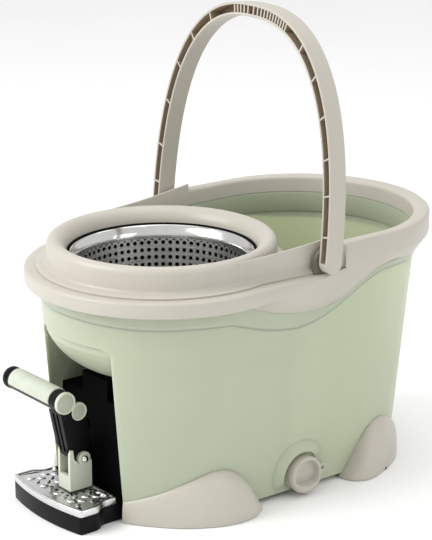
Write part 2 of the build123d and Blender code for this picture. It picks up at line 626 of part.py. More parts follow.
def make_housing():
    """Whole hollow housing with shaft supports; the halves are cut from it."""
    wall = HOUSING_WALL
    inside = housing_outside(wall)
    housing = housing_outside(0) - inside
    supports = block(SECTOR_X - 8, SECTOR_X - 5, HOUSING_FRONT, COUNTER_Y + 10,
                     HOUSING_BOTTOM, DRIVE_Z + 12)
    supports += block(-20, 20, -46, -42, HOUSING_BOTTOM, DRIVE_Z + 12)
    supports += block(-20, 20, -17, 17, DRIVE_Z + 46, DRIVE_Z + 50)
    supports += block(-20, 20, -31, -28, HOUSING_BOTTOM, DRIVE_Z + 50)
    supports += block(-20, 20, 28, 31, HOUSING_BOTTOM, DRIVE_Z + 50)
    supports += block(-20, 20, -30, 30, DRIVE_Z + 46, DRIVE_Z + 50)
    supports -= block(-30, 30, -32, -27, DRIVE_Z - 9, DRIVE_Z + 9)
    for y, z in screw_places():
        supports += rod(4, -HOUSING_HALF, HOUSING_HALF, y, z)
    housing += supports & housing_outside(wall / 2)
    for y, z in screw_places():
        housing -= rod(SCREW, -SCREW_LENGTH, SCREW_LENGTH, y, z)
        housing -= rod(2 * SCREW, SCREW_LENGTH - 0.1, 2 * HOUSING_HALF, y, z)
    housing -= rod(SHAFT + PIN_FIT, SECTOR_X - 10, 0, COUNTER_Y, DRIVE_Z)
    housing -= Pos(0, -44, DRIVE_Z) * Rot(90, 0, 0) * Cylinder(SHAFT + PIN_FIT, 12)
    housing -= disc(SPINDLE + PIN_FIT, DRIVE_Z + 40, DRIVE_Z + 52)
    housing -= disc(SPINDLE + 2 * MOVE_GAP, TOWER_TOP - 5, TOWER_TOP + 5)
    slot = GEAR_WIDTH / 2 + 2
    reach = MODULE * SECTOR_TEETH / 2
    housing -= block(SECTOR_X - slot, SECTOR_X + slot, HOUSING_FRONT - 1, HOUSING_FRONT + wall + 1,
                     DRIVE_Z - reach, DRIVE_Z + reach)
    return housing


def screw_places():
    """(y, z) of the four screws through the housing."""
    return [(y, z) for y in (HOUSING_FRONT + 12, HOUSING_BACK - 12)
            for z in (HOUSING_BOTTOM + 12, HOUSING_TOP - 12)]


def make_housing_screws():
    """Four screws that pull the halves together, heads on the right side."""
    screws = []
    for y, z in screw_places():
        shank = rod(SCREW - PIN_FIT, -SCREW_LENGTH + 1, SCREW_LENGTH, y, z)
        screws.append(shank + rod(2 * SCREW - 0.3, SCREW_LENGTH, SCREW_LENGTH + 2, y, z))
    return Compound(children=screws)


# ---------------------------------------------------------------- pedal
def make_bracket():
    """Bracket on the foot plate: two cheeks, a low front wall and two fingers."""
    x0, x1 = PEDAL_X - BRACKET_HALF, PEDAL_X + BRACKET_HALF
    top = DRIVE_Z
    side = [
        (BRACKET_FRONT, TREAD_TOP), (BRACKET_FRONT, FINGER_TOP - 4),
        (BRACKET_FRONT + 2, FINGER_TOP), (BRACKET_FRONT + 4, FINGER_TOP),
        (BRACKET_FRONT + 5.5, top + 2), (PEDAL_Y - 5, top - 6), (BRACKET_BACK, top - 3),
        (BRACKET_BACK, TREAD_TOP),
    ]
    bracket = side_plate(side, x0, x1) + rod(7.5, x0, x1, PEDAL_Y, DRIVE_Z)
    bracket -= block(x0 + CHEEK, x1 - CHEEK, BRACKET_FRONT - 1, BRACKET_BACK + 1, BRACKET_LIP, 100)
    bracket -= block(x0 + CHEEK, x1 - CHEEK, BRACKET_FRONT + 4, BRACKET_BACK + 1,
                     TREAD_TOP + 3, 100)
    return bracket - rod(PEDAL_PIN + PIN_FIT, x0 - 1, x1 + 1, PEDAL_Y, DRIVE_Z)


def make_pedal_pin():
    """Chrome pin with a domed head on the right."""
    right = PEDAL_X + BRACKET_HALF + 0.4
    pin = rod(PEDAL_PIN, SECTOR_X - GEAR_WIDTH / 2 - 1, right, PEDAL_Y, DRIVE_Z)
    dome = Pos(right, PEDAL_Y, DRIVE_Z) * Sphere(PEDAL_PIN)
    return pin + (dome & block(right - 1, right + 20, -300, 0, 0, 200))


def make_spring():
    """Closed coil on the pin between bracket and sector gear."""
    wire, first = 0.8, PEDAL_X - BRACKET_HALF - MOVE_GAP - 0.8
    coil = None
    for turn in range(3):
        ring = Pos(first - turn * 1.5, PEDAL_Y, DRIVE_Z) * Rot(0, 90, 0) * Torus(6.4, wire)
        coil = ring if coil is None else coil + ring
    return coil


def bar_shape(inset, x0, x1):
    """Foot bar and the smaller rail behind it, as one twin-barrel solid."""
    bar = rod(GRIP_RADIUS - inset, x0, x1, GRIP_Y, GRIP_Z)
    bar += rod(HEEL_RADIUS - inset, x0, x1, HEEL_Y, HEEL_Z)
    return bar


def make_lever():
    """Lever arm: narrow between the bracket's cheeks, wide under the foot bar."""
    narrow = BRACKET_HALF - CHEEK - MOVE_GAP
    front = [(GRIP_Y - 7.5, GRIP_Z - 8), (GRIP_Y + 3, DRIVE_Z + 6)]
    low = [(PEDAL_Y - 8, DRIVE_Z - 3), (PEDAL_Y + 8, DRIVE_Z - 3)]
    back = [(PEDAL_Y + 9, DRIVE_Z + 20), (HEEL_Y + 8, HEEL_Z - 3), (HEEL_Y, HEEL_Z)]
    side = front + low + back + [(GRIP_Y, GRIP_Z)]
    lever = side_plate(side, PEDAL_X - narrow, PEDAL_X + narrow)
    lever += rod(9, PEDAL_X - narrow, PEDAL_X + narrow, PEDAL_Y, DRIVE_Z)
    wide = side_plate(side, PEDAL_X - BRACKET_HALF, PEDAL_X + BRACKET_HALF)
    lever += wide - rod(LEVER_REACH, -100, 100, PEDAL_Y, DRIVE_Z)
    groove = [(GRIP_Y - 20, GRIP_Z), (GRIP_Y - 20, DRIVE_Z + 10),
              (GRIP_Y + 8, DRIVE_Z + 10), (GRIP_Y - 2.5, GRIP_Z - 16)]
    for x in (PEDAL_X - 5.4, PEDAL_X + 1.8):
        lever -= side_plate(groove, x, x + 3.6)
    lever -= bar_shape(-SEAT_GAP / 2, -200, 200)
    return lever - rod(PEDAL_PIN, -100, 100, PEDAL_Y, DRIVE_Z)


def make_bar():
    """Black twin barrel that the foot presses."""
    core = bar_shape(0, BAR_LEFT + CAP, BAR_RIGHT - CAP)
    return core - make_grip(0)


def make_grip(gap=0.0):
    """Soft pad let into the top and front of the foot bar."""
    x0, x1 = BAR_LEFT + 9 + gap, BAR_RIGHT - 14 - gap
    pad = rod(GRIP_RADIUS, x0, x1, GRIP_Y, GRIP_Z) - rod(GRIP_RADIUS - 2, x0, x1, GRIP_Y, GRIP_Z)
    tilt = Pos(0, GRIP_Y, GRIP_Z) * Rot(35, 0, 0)
    return pad & (tilt * block(x0, x1, -20, 20, 1.5, 20))


def make_right_cap():
    """Twin-disc cap on the near end of the bar."""
    return bar_shape(0, BAR_RIGHT - CAP, BAR_RIGHT)


def make_left_cap():
    """Cap on the far end of the bar."""
    return bar_shape(0, BAR_LEFT, BAR_LEFT + CAP)


# ---------------------------------------------------------------- foot plate
def plate_face(grow=0.0, back=PLATE_BACK):
    """Plan of the foot plate: bowed front, notch in each side, narrower behind."""
    half, waist = PLATE_HALF + grow, PLATE_WAIST + grow
    front, bow = PLATE_FRONT - grow, PLATE_END - grow
    notch = PLATE_NOTCH_Y - grow
    right = [(half, front), (half, notch - 8), (waist, notch), (waist, back + grow)]
    edges = [ThreePointArc((-half, front), (0, bow), (half, front))]
    edges += [Line(a, b) for a, b in zip(right, right[1:])]
    edges.append(Line(right[-1], (-right[-1][0], right[-1][1])))
    left = [(-x, y) for x, y in reversed(right)]
    edges += [Line(a, b) for a, b in zip(left, left[1:])]
    return make_face(Wire(edges))


def make_base():
    """Black base moulding under the tread and the drive housing."""
    base = extrude(plate_face(), amount=BASE_TOP)
    base -= extrude(Pos(0, 0, -1) * plate_face(-3), amount=BASE_TOP - 2)
    riser = extrude(Pos(0, 0, BASE_TOP - 3) * plate_face(-3, TREAD_BACK),
                    amount=TREAD_TOP - 1.7 - BASE_TOP + 3)
    return base + riser


def make_tread():
    """Pressed steel tread over the front of the base."""
    tread = extrude(Pos(0, 0, BASE_TOP) * plate_face(0, TREAD_BACK), amount=TREAD_TOP - BASE_TOP)
    tread -= extrude(Pos(0, 0, BASE_TOP - 1) * plate_face(-2.5, TREAD_BACK),
                     amount=TREAD_TOP - 1.5 - BASE_TOP + 1)
    return tread


def make_tread_screws():
    """Two ball-headed screws near the rear corners of the tread."""
    screws = []
    for x in (-44.0, 44.0):
        head = Pos(x, TREAD_BACK - 10, TREAD_TOP) * Sphere(4)
        screws.append(head & block(x - 9, x + 9, -300, 0, TREAD_TOP, TREAD_TOP + 9))
    return Compound(children=screws)


# ---------------------------------------------------------------- feet
def make_foot(right, front):
    """Flared foot that wraps one corner of the tub."""
    top_radius = tub_radius(FOOT_TOP) + FOOT_LIP
    flare = turned([
        (FOOT_INSIDE, PAD_HEIGHT), (FOOT_FLARE - 2, PAD_HEIGHT), (FOOT_FLARE - 1, 12),
        (FOOT_FLARE - 9, 34), (top_radius, FOOT_TOP), (FOOT_INSIDE, FOOT_TOP),
    ])
    top_edge = Spline((-60, 14), (-8, 27), (35, 49), (62, 61), (86, 54), (104, 30), (108, -5))
    fin = make_face(Wire([top_edge, Line((108, -5), (-60, -5)), Line((-60, -5), (-60, 14))]))
    view = Plane(origin=(0, 0, 0), x_dir=(sin(radians(38)), cos(radians(38)), 0),
                 z_dir=(cos(radians(38)), -sin(radians(38)), 0))
    foot = flare & extrude(view * fin, amount=200)
    start, end = radians(FOOT_START), radians(FOOT_END)
    sector = make_face(Polyline((0, 0), (250 * cos(start), 250 * sin(start)), (300, -80),
                                (250 * cos(end), 250 * sin(end)), close=True))
    foot &= extrude(sector, amount=200)
    if not right:
        foot = mirrored(foot)
    if not front:
        foot = mirror(foot, about=Plane.XZ.offset(-WELL_SHIFT_LOW / 2))
    return foot - tub_body(TUB_BOTTOM - SEAT_GAP, 100, SEAT_GAP)


def make_pads():
    """Rubber pads, one under each foot."""
    pads = []
    for sign in (1, -1):
        for y in (-30.0, WELL_SHIFT_LOW + 30.0):
            pads.append(disc(9, 0, PAD_HEIGHT, sign * 118.0, y))
    return Compound(children=pads)


# ---------------------------------------------------------------- drain
def make_drain_seat():
    """Ring welded to the tub wall round the outlet."""
    wall = tub_radius(DRAIN_Z)
    ring = rod(DRAIN_RADIUS - 1, wall - 1, wall + 5, DRAIN_Y, DRAIN_Z)
    ring -= rod(DRAIN_BORE, wall - 9, wall + 9, DRAIN_Y, DRAIN_Z)
    return ring - tub_body(TUB_BOTTOM - 9, 100, 0.05)


def make_plug():
    """Plug with a finger recess and a ring for its tether."""
    wall = tub_radius(DRAIN_Z) + 5 + MOVE_GAP
    plug = rod(DRAIN_RADIUS, wall, wall + 9, DRAIN_Y, DRAIN_Z)
    plug += rod(DRAIN_BORE - 1.5, wall - 10, wall, DRAIN_Y, DRAIN_Z)
    plug -= rod(DRAIN_RADIUS - 6, wall + 4, wall + 10, DRAIN_Y, DRAIN_Z)
    plug += block(wall + 3, wall + 9, DRAIN_Y - 2.5, DRAIN_Y + 2.5, DRAIN_Z - 17, DRAIN_Z + 17)
    ear_y = DRAIN_Y + DRAIN_RADIUS + 4
    plug += rod(5, wall, wall + 4, ear_y, DRAIN_Z) + block(
        wall, wall + 4, DRAIN_Y + DRAIN_RADIUS - 3, ear_y, DRAIN_Z - 3, DRAIN_Z + 3)
    return plug - rod(3, wall - 1, wall + 5, ear_y, DRAIN_Z)


def make_plug_seal():
    """Rubber ring on the plug's spigot."""
    wall = tub_radius(DRAIN_Z)
    seal = rod(DRAIN_BORE - MOVE_GAP, wall - 3, wall + 1, DRAIN_Y, DRAIN_Z)
    return seal - rod(DRAIN_BORE - 1.5, wall - 9, wall + 9, DRAIN_Y, DRAIN_Z)


# ---------------------------------------------------------------- all nodes
def build():
    """Makes every node."""
    lug = make_pivot_lug()
    keep("tub_shell", make_tub())
    keep("rim_ring", make_rim() + lug + mirrored(lug))
    keep("basket_cover", make_cover())
    keep("well_bush", make_well_bush())
    for right, side in ((True, "right"), (False, "left")):
        for front, end in ((True, "front"), (False, "rear")):
            keep(f"foot_{end}_{side}", make_foot(right, front))
    keep("foot_pads", make_pads())
    keep("base_plate", make_base())
    keep("tread_plate", make_tread())
    keep("tread_screws", make_tread_screws())
    housing = make_housing()
    gap = SEAT_GAP / 2
    keep("housing_right", housing & block(gap, 200, -200, 200, 0, 200))
    keep("housing_left", housing & block(-200, -gap, -200, 200, 0, 200))
    keep("housing_screws", make_housing_screws())
    keep("pedal_bracket", make_bracket())
    keep("return_spring", make_spring())
    keep("drain_seat", make_drain_seat())
    keep("handle_pins", make_handle_pins())
    keep("handle", make_handle())
    keep("basket", make_basket())
    keep("basket_seat", make_basket_seat())
    keep("basket_hub", make_basket_hub())
    keep("basket_screw", make_basket_screw())
    keep("spindle", make_spindle())
    keep("spindle_bevel", make_spindle_bevel())
    keep("clutch_drum", make_clutch())
    keep("long_shaft", make_long_shaft())
    keep("crown_bevel", make_crown())
    keep("long_mitre", make_long_mitre())
    keep("cross_shaft", make_cross_shaft())
    keep("cross_mitre", make_cross_mitre())
    keep("pinion", make_pinion())
    keep("lever_arm", make_lever())
    keep("foot_bar", make_bar())
    keep("grip_pad", make_grip(SEAT_GAP))
    keep("bar_cap_right", make_right_cap())
    keep("bar_cap_left", make_left_cap())
    keep("pedal_pin", make_pedal_pin())
    keep("sector_gear", make_sector())
    keep("drain_plug", make_plug())
    keep("plug_seal", make_plug_seal())


if __name__ == "__main__":
    build()
    os.makedirs("parts", exist_ok=True)
    for name, shape in nodes.items():
        export_step(shape, f"parts/{name}.step")
        print(name, round(shape.volume), [round(v, 1) for v in shape.bounding_box().size])
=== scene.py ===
"""Spin mop bucket: the finished look of every piece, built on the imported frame.

Meshes are drawn in millimetres about the basket's upright axis, with the floor at Z = 0, +Y
towards the wash well and +X towards the drain plug, and are then moved into the frame.
"""

import json
import logging
from dataclasses import dataclass, field
from enum import Enum
from math import atan2, cos, hypot, pi, radians, sin, sqrt
from typing import Callable, Sequence

import bmesh
import bpy
from mathutils import Matrix, Vector


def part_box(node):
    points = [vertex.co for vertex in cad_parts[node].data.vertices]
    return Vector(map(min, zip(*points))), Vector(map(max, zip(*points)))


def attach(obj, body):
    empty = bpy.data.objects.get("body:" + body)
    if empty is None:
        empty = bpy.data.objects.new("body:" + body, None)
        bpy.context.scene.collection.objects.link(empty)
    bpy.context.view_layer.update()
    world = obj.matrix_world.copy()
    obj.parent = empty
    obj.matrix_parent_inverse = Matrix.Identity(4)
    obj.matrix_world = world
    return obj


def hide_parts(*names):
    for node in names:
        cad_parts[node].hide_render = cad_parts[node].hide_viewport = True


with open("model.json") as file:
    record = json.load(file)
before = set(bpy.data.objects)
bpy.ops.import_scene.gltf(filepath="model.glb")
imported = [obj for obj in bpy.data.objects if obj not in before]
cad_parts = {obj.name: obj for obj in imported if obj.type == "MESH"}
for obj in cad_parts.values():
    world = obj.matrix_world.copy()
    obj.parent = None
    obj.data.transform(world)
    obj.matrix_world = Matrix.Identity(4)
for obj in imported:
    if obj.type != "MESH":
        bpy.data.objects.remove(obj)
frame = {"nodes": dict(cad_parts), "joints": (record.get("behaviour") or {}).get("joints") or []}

LOG = logging.getLogger("spin_bucket")
MILLIMETRE = 0.001

Point = tuple[float, float, float]
Pair = tuple[float, float]
Colour = tuple[float, float, float]


def joint_place(name: str) -> Vector:
    """Gives a joint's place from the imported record.

    Args:
        name: The joint's name.

    Returns:
        Its point, in metres, in the frame.
    """
    for joint in frame["joints"]:
        if joint["name"] == name:
            return Vector(joint["pos_m"])
    raise KeyError(name)


AXIS = joint_place("basket_spin")
PIVOT = joint_place("handle_swing")
TO_FRAME = Matrix.Translation((AXIS.x, AXIS.y, 0.0)) @ Matrix.Scale(MILLIMETRE, 4)


def span(node: str) -> tuple[Vector, Vector]:
    """Gives a node's box in working millimetres.

    Args:
        node: The node's name.

    Returns:
        Its lowest and its highest corner.
    """
    inverse = TO_FRAME.inverted()
    low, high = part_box(node)
    return inverse @ low, inverse @ high


def blend_value(low: float, high: float, part: float) -> float:
    """Goes evenly from low to high as part goes from 0 to 1."""
    return low + (high - low) * part


def ease(part: float) -> float:
    """Goes smoothly from 0 to 1, held at both ends."""
    part = min(1.0, max(0.0, part))
    return part * part * (3.0 - 2.0 * part)


def along(table: Sequence[Pair], value: float) -> float:
    """Reads a smooth curve given by a few knots.

    Args:
        table: Knots of place and height, in order of place.
        value: The place to read.

    Returns:
        The height there.
    """
    if value <= table[0][0]:
        return table[0][1]
    if value >= table[-1][0]:
        return table[-1][1]
    slopes = []
    for index in range(len(table)):
        before, after = table[max(0, index - 1)], table[min(len(table) - 1, index + 1)]
        slopes.append((after[1] - before[1]) / (after[0] - before[0]))
    for index in range(len(table) - 1):
        (x0, y0), (x1, y1) = table[index], table[index + 1]
        if value <= x1:
            break
    width = x1 - x0
    part = (value - x0) / width
    rest = 1.0 - part
    start = rest * rest * ((1.0 + 2.0 * part) * y0 + part * width * slopes[index])
    end = part * part * ((3.0 - 2.0 * part) * y1 - rest * width * slopes[index + 1])
    return start + end


def circle(radius: float, count: int) -> list[Pair]:
    """Gives points spaced evenly round a circle.

    Args:
        radius: The circle's radius.
        count: How many points.

    Returns:
        The points about the circle's middle, anticlockwise.
    """
    angles = [2.0 * pi * index / count for index in range(count)]
    return [(radius * cos(angle), radius * sin(angle)) for angle in angles]


# ---------------------------------------------------------------- finishes
class Nodes:
    """A material's node tree, with short calls for the nodes that the finishes use."""

    def __init__(self, name: str) -> None:
        """Starts an empty surface.

        Args:
            name: The material's name.
        """
        self.material = bpy.data.materials.new(name)
        self.material.use_nodes = True
        self.tree = self.material.node_tree
        self.tree.nodes.clear()
        self.output = self.tree.nodes.new("ShaderNodeOutputMaterial")
        self.shader = self.tree.nodes.new("ShaderNodeBsdfPrincipled")
        self.link(self.shader.outputs["BSDF"], self.output.inputs["Surface"])
        self.place = self.tree.nodes.new("ShaderNodeTexCoord").outputs["Object"]

    def link(self, start: bpy.types.NodeSocket, end: bpy.types.NodeSocket) -> None:
        """Joins two sockets."""
        self.tree.links.new(start, end)

    def set(self, **values: float | Colour) -> None:
        """Sets sockets of the shader, named with _ for a space."""
        for name, value in values.items():
            self.shader.inputs[name.replace("_", " ")].default_value = value

    def noise(self, scale: float, detail: float = 3.0,
              stretch: Point = (1.0, 1.0, 1.0)) -> bpy.types.NodeSocket:
        """Adds a noise.

        Args:
            scale: Patches per metre.
            detail: Octaves of finer noise.
            stretch: Scale along each axis.

        Returns:
            The noise's value.
        """
        mapping = self.tree.nodes.new("ShaderNodeMapping")
        mapping.inputs["Scale"].default_value = stretch
        self.link(self.place, mapping.inputs["Vector"])
        noise = self.tree.nodes.new("ShaderNodeTexNoise")
        noise.inputs["Scale"].default_value = scale
        noise.inputs["Detail"].default_value = detail
        self.link(mapping.outputs["Vector"], noise.inputs["Vector"])
        return noise.outputs["Fac"]

    def spread(self, value: bpy.types.NodeSocket, low: float,
               high: float) -> bpy.types.NodeSocket:
        """Stretches a noise's middle range.

        Args:
            value: The value to stretch.
            low: Result at the low end of the range.
            high: Result at its high end.

        Returns:
            The stretched value.
        """
        node = self.tree.nodes.new("ShaderNodeMapRange")
        node.inputs["From Min"].default_value = 0.3
        node.inputs["From Max"].default_value = 0.7
        node.inputs["To Min"].default_value = low
        node.inputs["To Max"].default_value = high
        self.link(value, node.inputs["Value"])
        return node.outputs["Result"]

    def mix(self, factor: bpy.types.NodeSocket, first: Colour,
            second: Colour) -> bpy.types.NodeSocket:
        """Mixes two colours.

        Args:
            factor: Share of the second colour.
            first: Colour at 0.
            second: Colour at 1.

        Returns:
            The mixed colour.
        """
        node = self.tree.nodes.new("ShaderNodeMix")
        node.data_type = "RGBA"
        self.link(factor, node.inputs["Factor"])
        node.inputs["A"].default_value = (*first, 1.0)
        node.inputs["B"].default_value = (*second, 1.0)
        return node.outputs["Result"]

    def bump(self, height: bpy.types.NodeSocket, depth: float, strength: float,
             below: bpy.types.NodeSocket | None = None) -> bpy.types.NodeSocket:
        """Adds a bump.

        Args:
            height: The height pattern.
            depth: Height of the relief, in metres.
            strength: Share of the bump that shows.
            below: A bump that this one lies on.

        Returns:
            The bent normal.
        """
        node = self.tree.nodes.new("ShaderNodeBump")
        node.inputs["Strength"].default_value = strength
        node.inputs["Distance"].default_value = depth
        self.link(height, node.inputs["Height"])
        if below is not None:
            self.link(below, node.inputs["Normal"])
        return node.outputs["Normal"]


@dataclass(frozen=True)
class Finish:
    """A surface finish with its own base colour and roughness."""

    name: str
    colour: Colour
    roughness: float = 0.4

    def shade(self, amount: float) -> Colour:
        """Gives the base colour made lighter or darker.

        Args:
            amount: Factor on each channel.

        Returns:
            The new colour.
        """
        red, green, blue = (min(1.0, channel * amount) for channel in self.colour)
        return (red, green, blue)

    def dress(self, nodes: Nodes) -> None:
        """Adds the finish's own nodes."""
        raise NotImplementedError

    def material(self) -> bpy.types.Material:
        """Gives the finish's material, made once.

        Returns:
            The material.
        """
        found = bpy.data.materials.get(self.name)
        if found is not None:
            return found
        nodes = Nodes(self.name)
        self.dress(nodes)
        return nodes.material


@dataclass(frozen=True)
class MouldedPlastic(Finish):
    """Smooth moulded plastic: soft flow marks, slight waviness and a fine grain."""

    flow: float = 0.035
    grain: float = 1400.0
    grain_depth: float = 0.00004
    through: float = 0.0
    through_depth: float = 0.012
    shine: float = 0.5

    def dress(self, nodes: Nodes) -> None:
        """Adds colour drift, uneven gloss and two scales of relief."""
        drift = nodes.noise(9.0, 4.0, (1.0, 1.0, 0.45))
        tone = nodes.spread(drift, 0.0, 1.0)
        colour = nodes.mix(tone, self.shade(1.0 - self.flow), self.shade(1.0 + self.flow))
        nodes.link(colour, nodes.shader.inputs["Base Color"])
        gloss = nodes.noise(46.0, 5.0)
        rough = nodes.spread(gloss, self.roughness - 0.05, self.roughness + 0.06)
        nodes.link(rough, nodes.shader.inputs["Roughness"])
        wave = nodes.bump(nodes.noise(14.0, 1.0), 0.0012, 0.10)
        fine = nodes.bump(nodes.noise(self.grain, 2.0), self.grain_depth, 0.35, wave)
        nodes.link(fine, nodes.shader.inputs["Normal"])
        nodes.set(IOR=1.49, Specular_IOR_Level=self.shine)
        if self.through > 0.0:
            nodes.set(Subsurface_Weight=self.through, Subsurface_Scale=self.through_depth)
            nodes.set(Subsurface_Radius=(1.0, 1.0, 0.75))


@dataclass(frozen=True)
class SoftRubber(Finish):
    """Soft-touch rubber with a powdery sheen."""

    grain: float = 900.0

    def dress(self, nodes: Nodes) -> None:
        """Adds a mottled colour, a matte gloss and a pebbled relief."""
        tone = nodes.spread(nodes.noise(60.0, 4.0), 0.0, 1.0)
        colour = nodes.mix(tone, self.shade(0.95), self.shade(1.05))
        nodes.link(colour, nodes.shader.inputs["Base Color"])
        rough = nodes.spread(nodes.noise(220.0), self.roughness, self.roughness + 0.12)
        nodes.link(rough, nodes.shader.inputs["Roughness"])
        relief = nodes.bump(nodes.noise(self.grain, 2.0), 0.0001, 0.4)
        nodes.link(relief, nodes.shader.inputs["Normal"])
        nodes.set(Sheen_Weight=0.15, Sheen_Roughness=0.5)


@dataclass(frozen=True)
class Metal(Finish):
    """Bright metal, brushed along one axis."""

    brushed: Point = (1.0, 1.0, 30.0)
    streaks: float = 25.0
    relief: float = 0.00002

    def dress(self, nodes: Nodes) -> None:
        """Adds fine streaks, smudges and a faint waviness."""
        smudge = nodes.spread(nodes.noise(24.0, 5.0), 0.0, 1.0)
        colour = nodes.mix(smudge, self.shade(0.93), self.shade(1.03))
        nodes.link(colour, nodes.shader.inputs["Base Color"])
        streak = nodes.noise(self.streaks, 6.0, self.brushed)
        rough = nodes.spread(streak, self.roughness * 0.7, self.roughness * 1.35)
        nodes.link(rough, nodes.shader.inputs["Roughness"])
        wave = nodes.bump(nodes.noise(18.0, 1.0), 0.0008, 0.08)
        nodes.link(nodes.bump(streak, self.relief, 0.4, wave), nodes.shader.inputs["Normal"])
        nodes.set(Metallic=1.0)


SAGE = MouldedPlastic("sage_plastic", (0.42, 0.465, 0.335), 0.36, through=0.5)
SAGE_TRIM = MouldedPlastic("sage_trim", (0.42, 0.455, 0.355), 0.4)
SAGE_LIGHT = MouldedPlastic("sage_light", (0.56, 0.60, 0.49), 0.35)
CREAM = MouldedPlastic("cream_moulding", (0.475, 0.448, 0.388), 0.37)
# Darker, browner copy of the cream for the inside of the handle's channel: painted shade.
CREAM_SHADE = MouldedPlastic("cream_channel_painted_shade", (0.36, 0.28, 0.195), 0.6)
# Near-black copy of the cream for the handle's ears: painted shade for the dark gap round the
# handle's legs.
EAR_SHADE = MouldedPlastic("ear_painted_shade", (0.13, 0.12, 0.085), 0.6)
BLACK = MouldedPlastic("black_moulding", (0.004, 0.004, 0.0045), 0.36, flow=0.2,
                       grain=1800.0, grain_depth=0.00008, shine=0.12)
BLACK_DEEP = MouldedPlastic("black_housing", (0.003, 0.003, 0.003), 0.7, flow=0.2,
                            grain=1800.0, grain_depth=0.00008, shine=0.02)
NYLON = MouldedPlastic("natural_nylon", (0.78, 0.77, 0.70), 0.45, through=0.1)
GRIP_RUBBER = SoftRubber("grip_rubber", (0.50, 0.54, 0.45), 0.5)
BLACK_RUBBER = SoftRubber("black_rubber", (0.02, 0.02, 0.02), 0.6)
CHROME = Metal("bright_chrome", (0.66, 0.66, 0.65), 0.12, brushed=(1.0, 1.0, 1.0))
STAINLESS = Metal("stainless_sheet", (0.60, 0.60, 0.59), 0.3, brushed=(1.0, 1.0, 40.0))
TREAD_STEEL = Metal("tread_steel", (0.68, 0.68, 0.68), 0.26, brushed=(30.0, 1.0, 1.0))
STEEL = Metal("turned_steel", (0.50, 0.50, 0.50), 0.3)


# ---------------------------------------------------------------- making pieces
class Body(Enum):
    """Bodies of the mechanism."""

    TUB = "tub"
    HANDLE = "handle"
    PEDAL = "pedal"
    BASKET = "basket"
    PLUG = "plug"


class Sheet:
    """A mesh under construction, in working millimetres."""

    def __init__(self) -> None:
        """Starts with no faces."""
        self.mesh = bmesh.new()

    def rings(self, rings: Sequence[Sequence[Point]], onward: bool = False,
              caps: bool = False) -> None:
        """Skins a row of closed rings.

        Args:
            rings: Rings of points, all with the same count.
            onward: Whether the last ring joins the first.
            caps: Whether the first and last rings are filled.
        """
        made = [[self.mesh.verts.new(p) for p in ring] for ring in rings]
        pairs = list(zip(made, made[1:]))
        if onward:
            pairs.append((made[-1], made[0]))
        for lower, upper in pairs:
            count = len(lower)
            for i in range(count):
                j = (i + 1) % count
                self.mesh.faces.new((lower[i], lower[j], upper[j], upper[i]))
        if caps:
            self.mesh.faces.new(list(reversed(made[0])))
            self.mesh.faces.new(made[-1])

    def turned(self, profile: Sequence[Pair], steps: int) -> None:
        """Turns a closed profile about the basket axis.

        Args:
            profile: Corners as radius and height.
            steps: Facets round the axis.
        """
        self.rings([[(r * c, r * s, z) for r, z in profile] for c, s in circle(1.0, steps)],
                   onward=True)

    def prism(self, outline: Sequence[Point], push: Point) -> None:
        """Pushes a flat outline into a solid.

        Args:
            outline: Corners in order.
            push: The way and distance it goes.
        """
        far = [tuple(a + b for a, b in zip(p, push)) for p in outline]
        self.rings([outline, far], caps=True)

    def tidy(self, gap: float = 0.002) -> None:
        """Joins points that coincide and turns every face outwards."""
        bmesh.ops.remove_doubles(self.mesh, verts=self.mesh.verts, dist=gap)
        bmesh.ops.dissolve_degenerate(self.mesh, dist=gap, edges=self.mesh.edges)
        bmesh.ops.recalc_face_normals(self.mesh, faces=self.mesh.faces)

    def piece(self, name: str, finish: Finish, body: Body, nodes: Sequence[str] = (),
              sharp: float = 38.0,
              turn: Matrix | None = None) -> bpy.types.Object:
        """Makes the scene's object from this mesh.

        Args:
            name: The piece's name.
            finish: Its finish.
            body: The body that it rides on.
            nodes: CAD nodes that it stands for.
            sharp: Smallest angle between faces that shows as an edge, in degrees.
            turn: A turn in working millimetres made before the move to the frame.

        Returns:
            The object.
        """
        self.tidy()
        if turn is not None:
            bmesh.ops.transform(self.mesh, matrix=turn, verts=self.mesh.verts)
        bmesh.ops.transform(self.mesh, matrix=TO_FRAME, verts=self.mesh.verts)
        data = bpy.data.meshes.new(name)
        self.mesh.to_mesh(data)
        self.mesh.free()
        data.shade_smooth()
        data.set_sharp_from_angle(angle=radians(sharp))
        data.materials.append(finish.material())
        made = bpy.data.objects.new(name, data)
        bpy.context.scene.collection.objects.link(made)
        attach(made, body.value)
        if nodes:
            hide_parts(*nodes)
        LOG.info("piece %s: %d faces", name, len(data.polygons))
        return made


def dress_node(node: str, finish: Finish, soften: float = 0.0) -> None:
    """Gives a CAD node its finish.

    Args:
        node: The node's name.
        finish: The finish to put on.
        soften: Width of the rounding on its edges, in millimetres.
    """
    made = frame["nodes"][node]
    made.data.materials.clear()
    made.data.materials.append(finish.material())
    if soften > 0.0:
        bevel = made.modifiers.new("softened_edges", "BEVEL")
        bevel.width = soften * MILLIMETRE
        bevel.segments = 3
        bevel.limit_method = "ANGLE"
        bevel.angle_limit = radians(35.0)
    LOG.info("node %s: %s", node, finish.name)


def barrel(radius: float, x0: float, x1: float, y: float, z: float,
           steps: int = 48) -> list[list[Point]]:
    """Gives the two end rings of a round bar along X.

    Args:
        radius: Radius of the bar.
        x0: Left end.
        x1: Right end.
        y: Place of its axis.
        z: Height of its axis.
        steps: Facets round it.

    Returns:
        The rings, from left to right.
    """
    return [[(x, y + u, z + v) for u, v in circle(radius, steps)] for x in (x0, x1)]


# ---------------------------------------------------------------- ovals of the tub
ARC_ENDS: Pair = (0.36, 0.66)  # shares of half an outline where its straight side runs


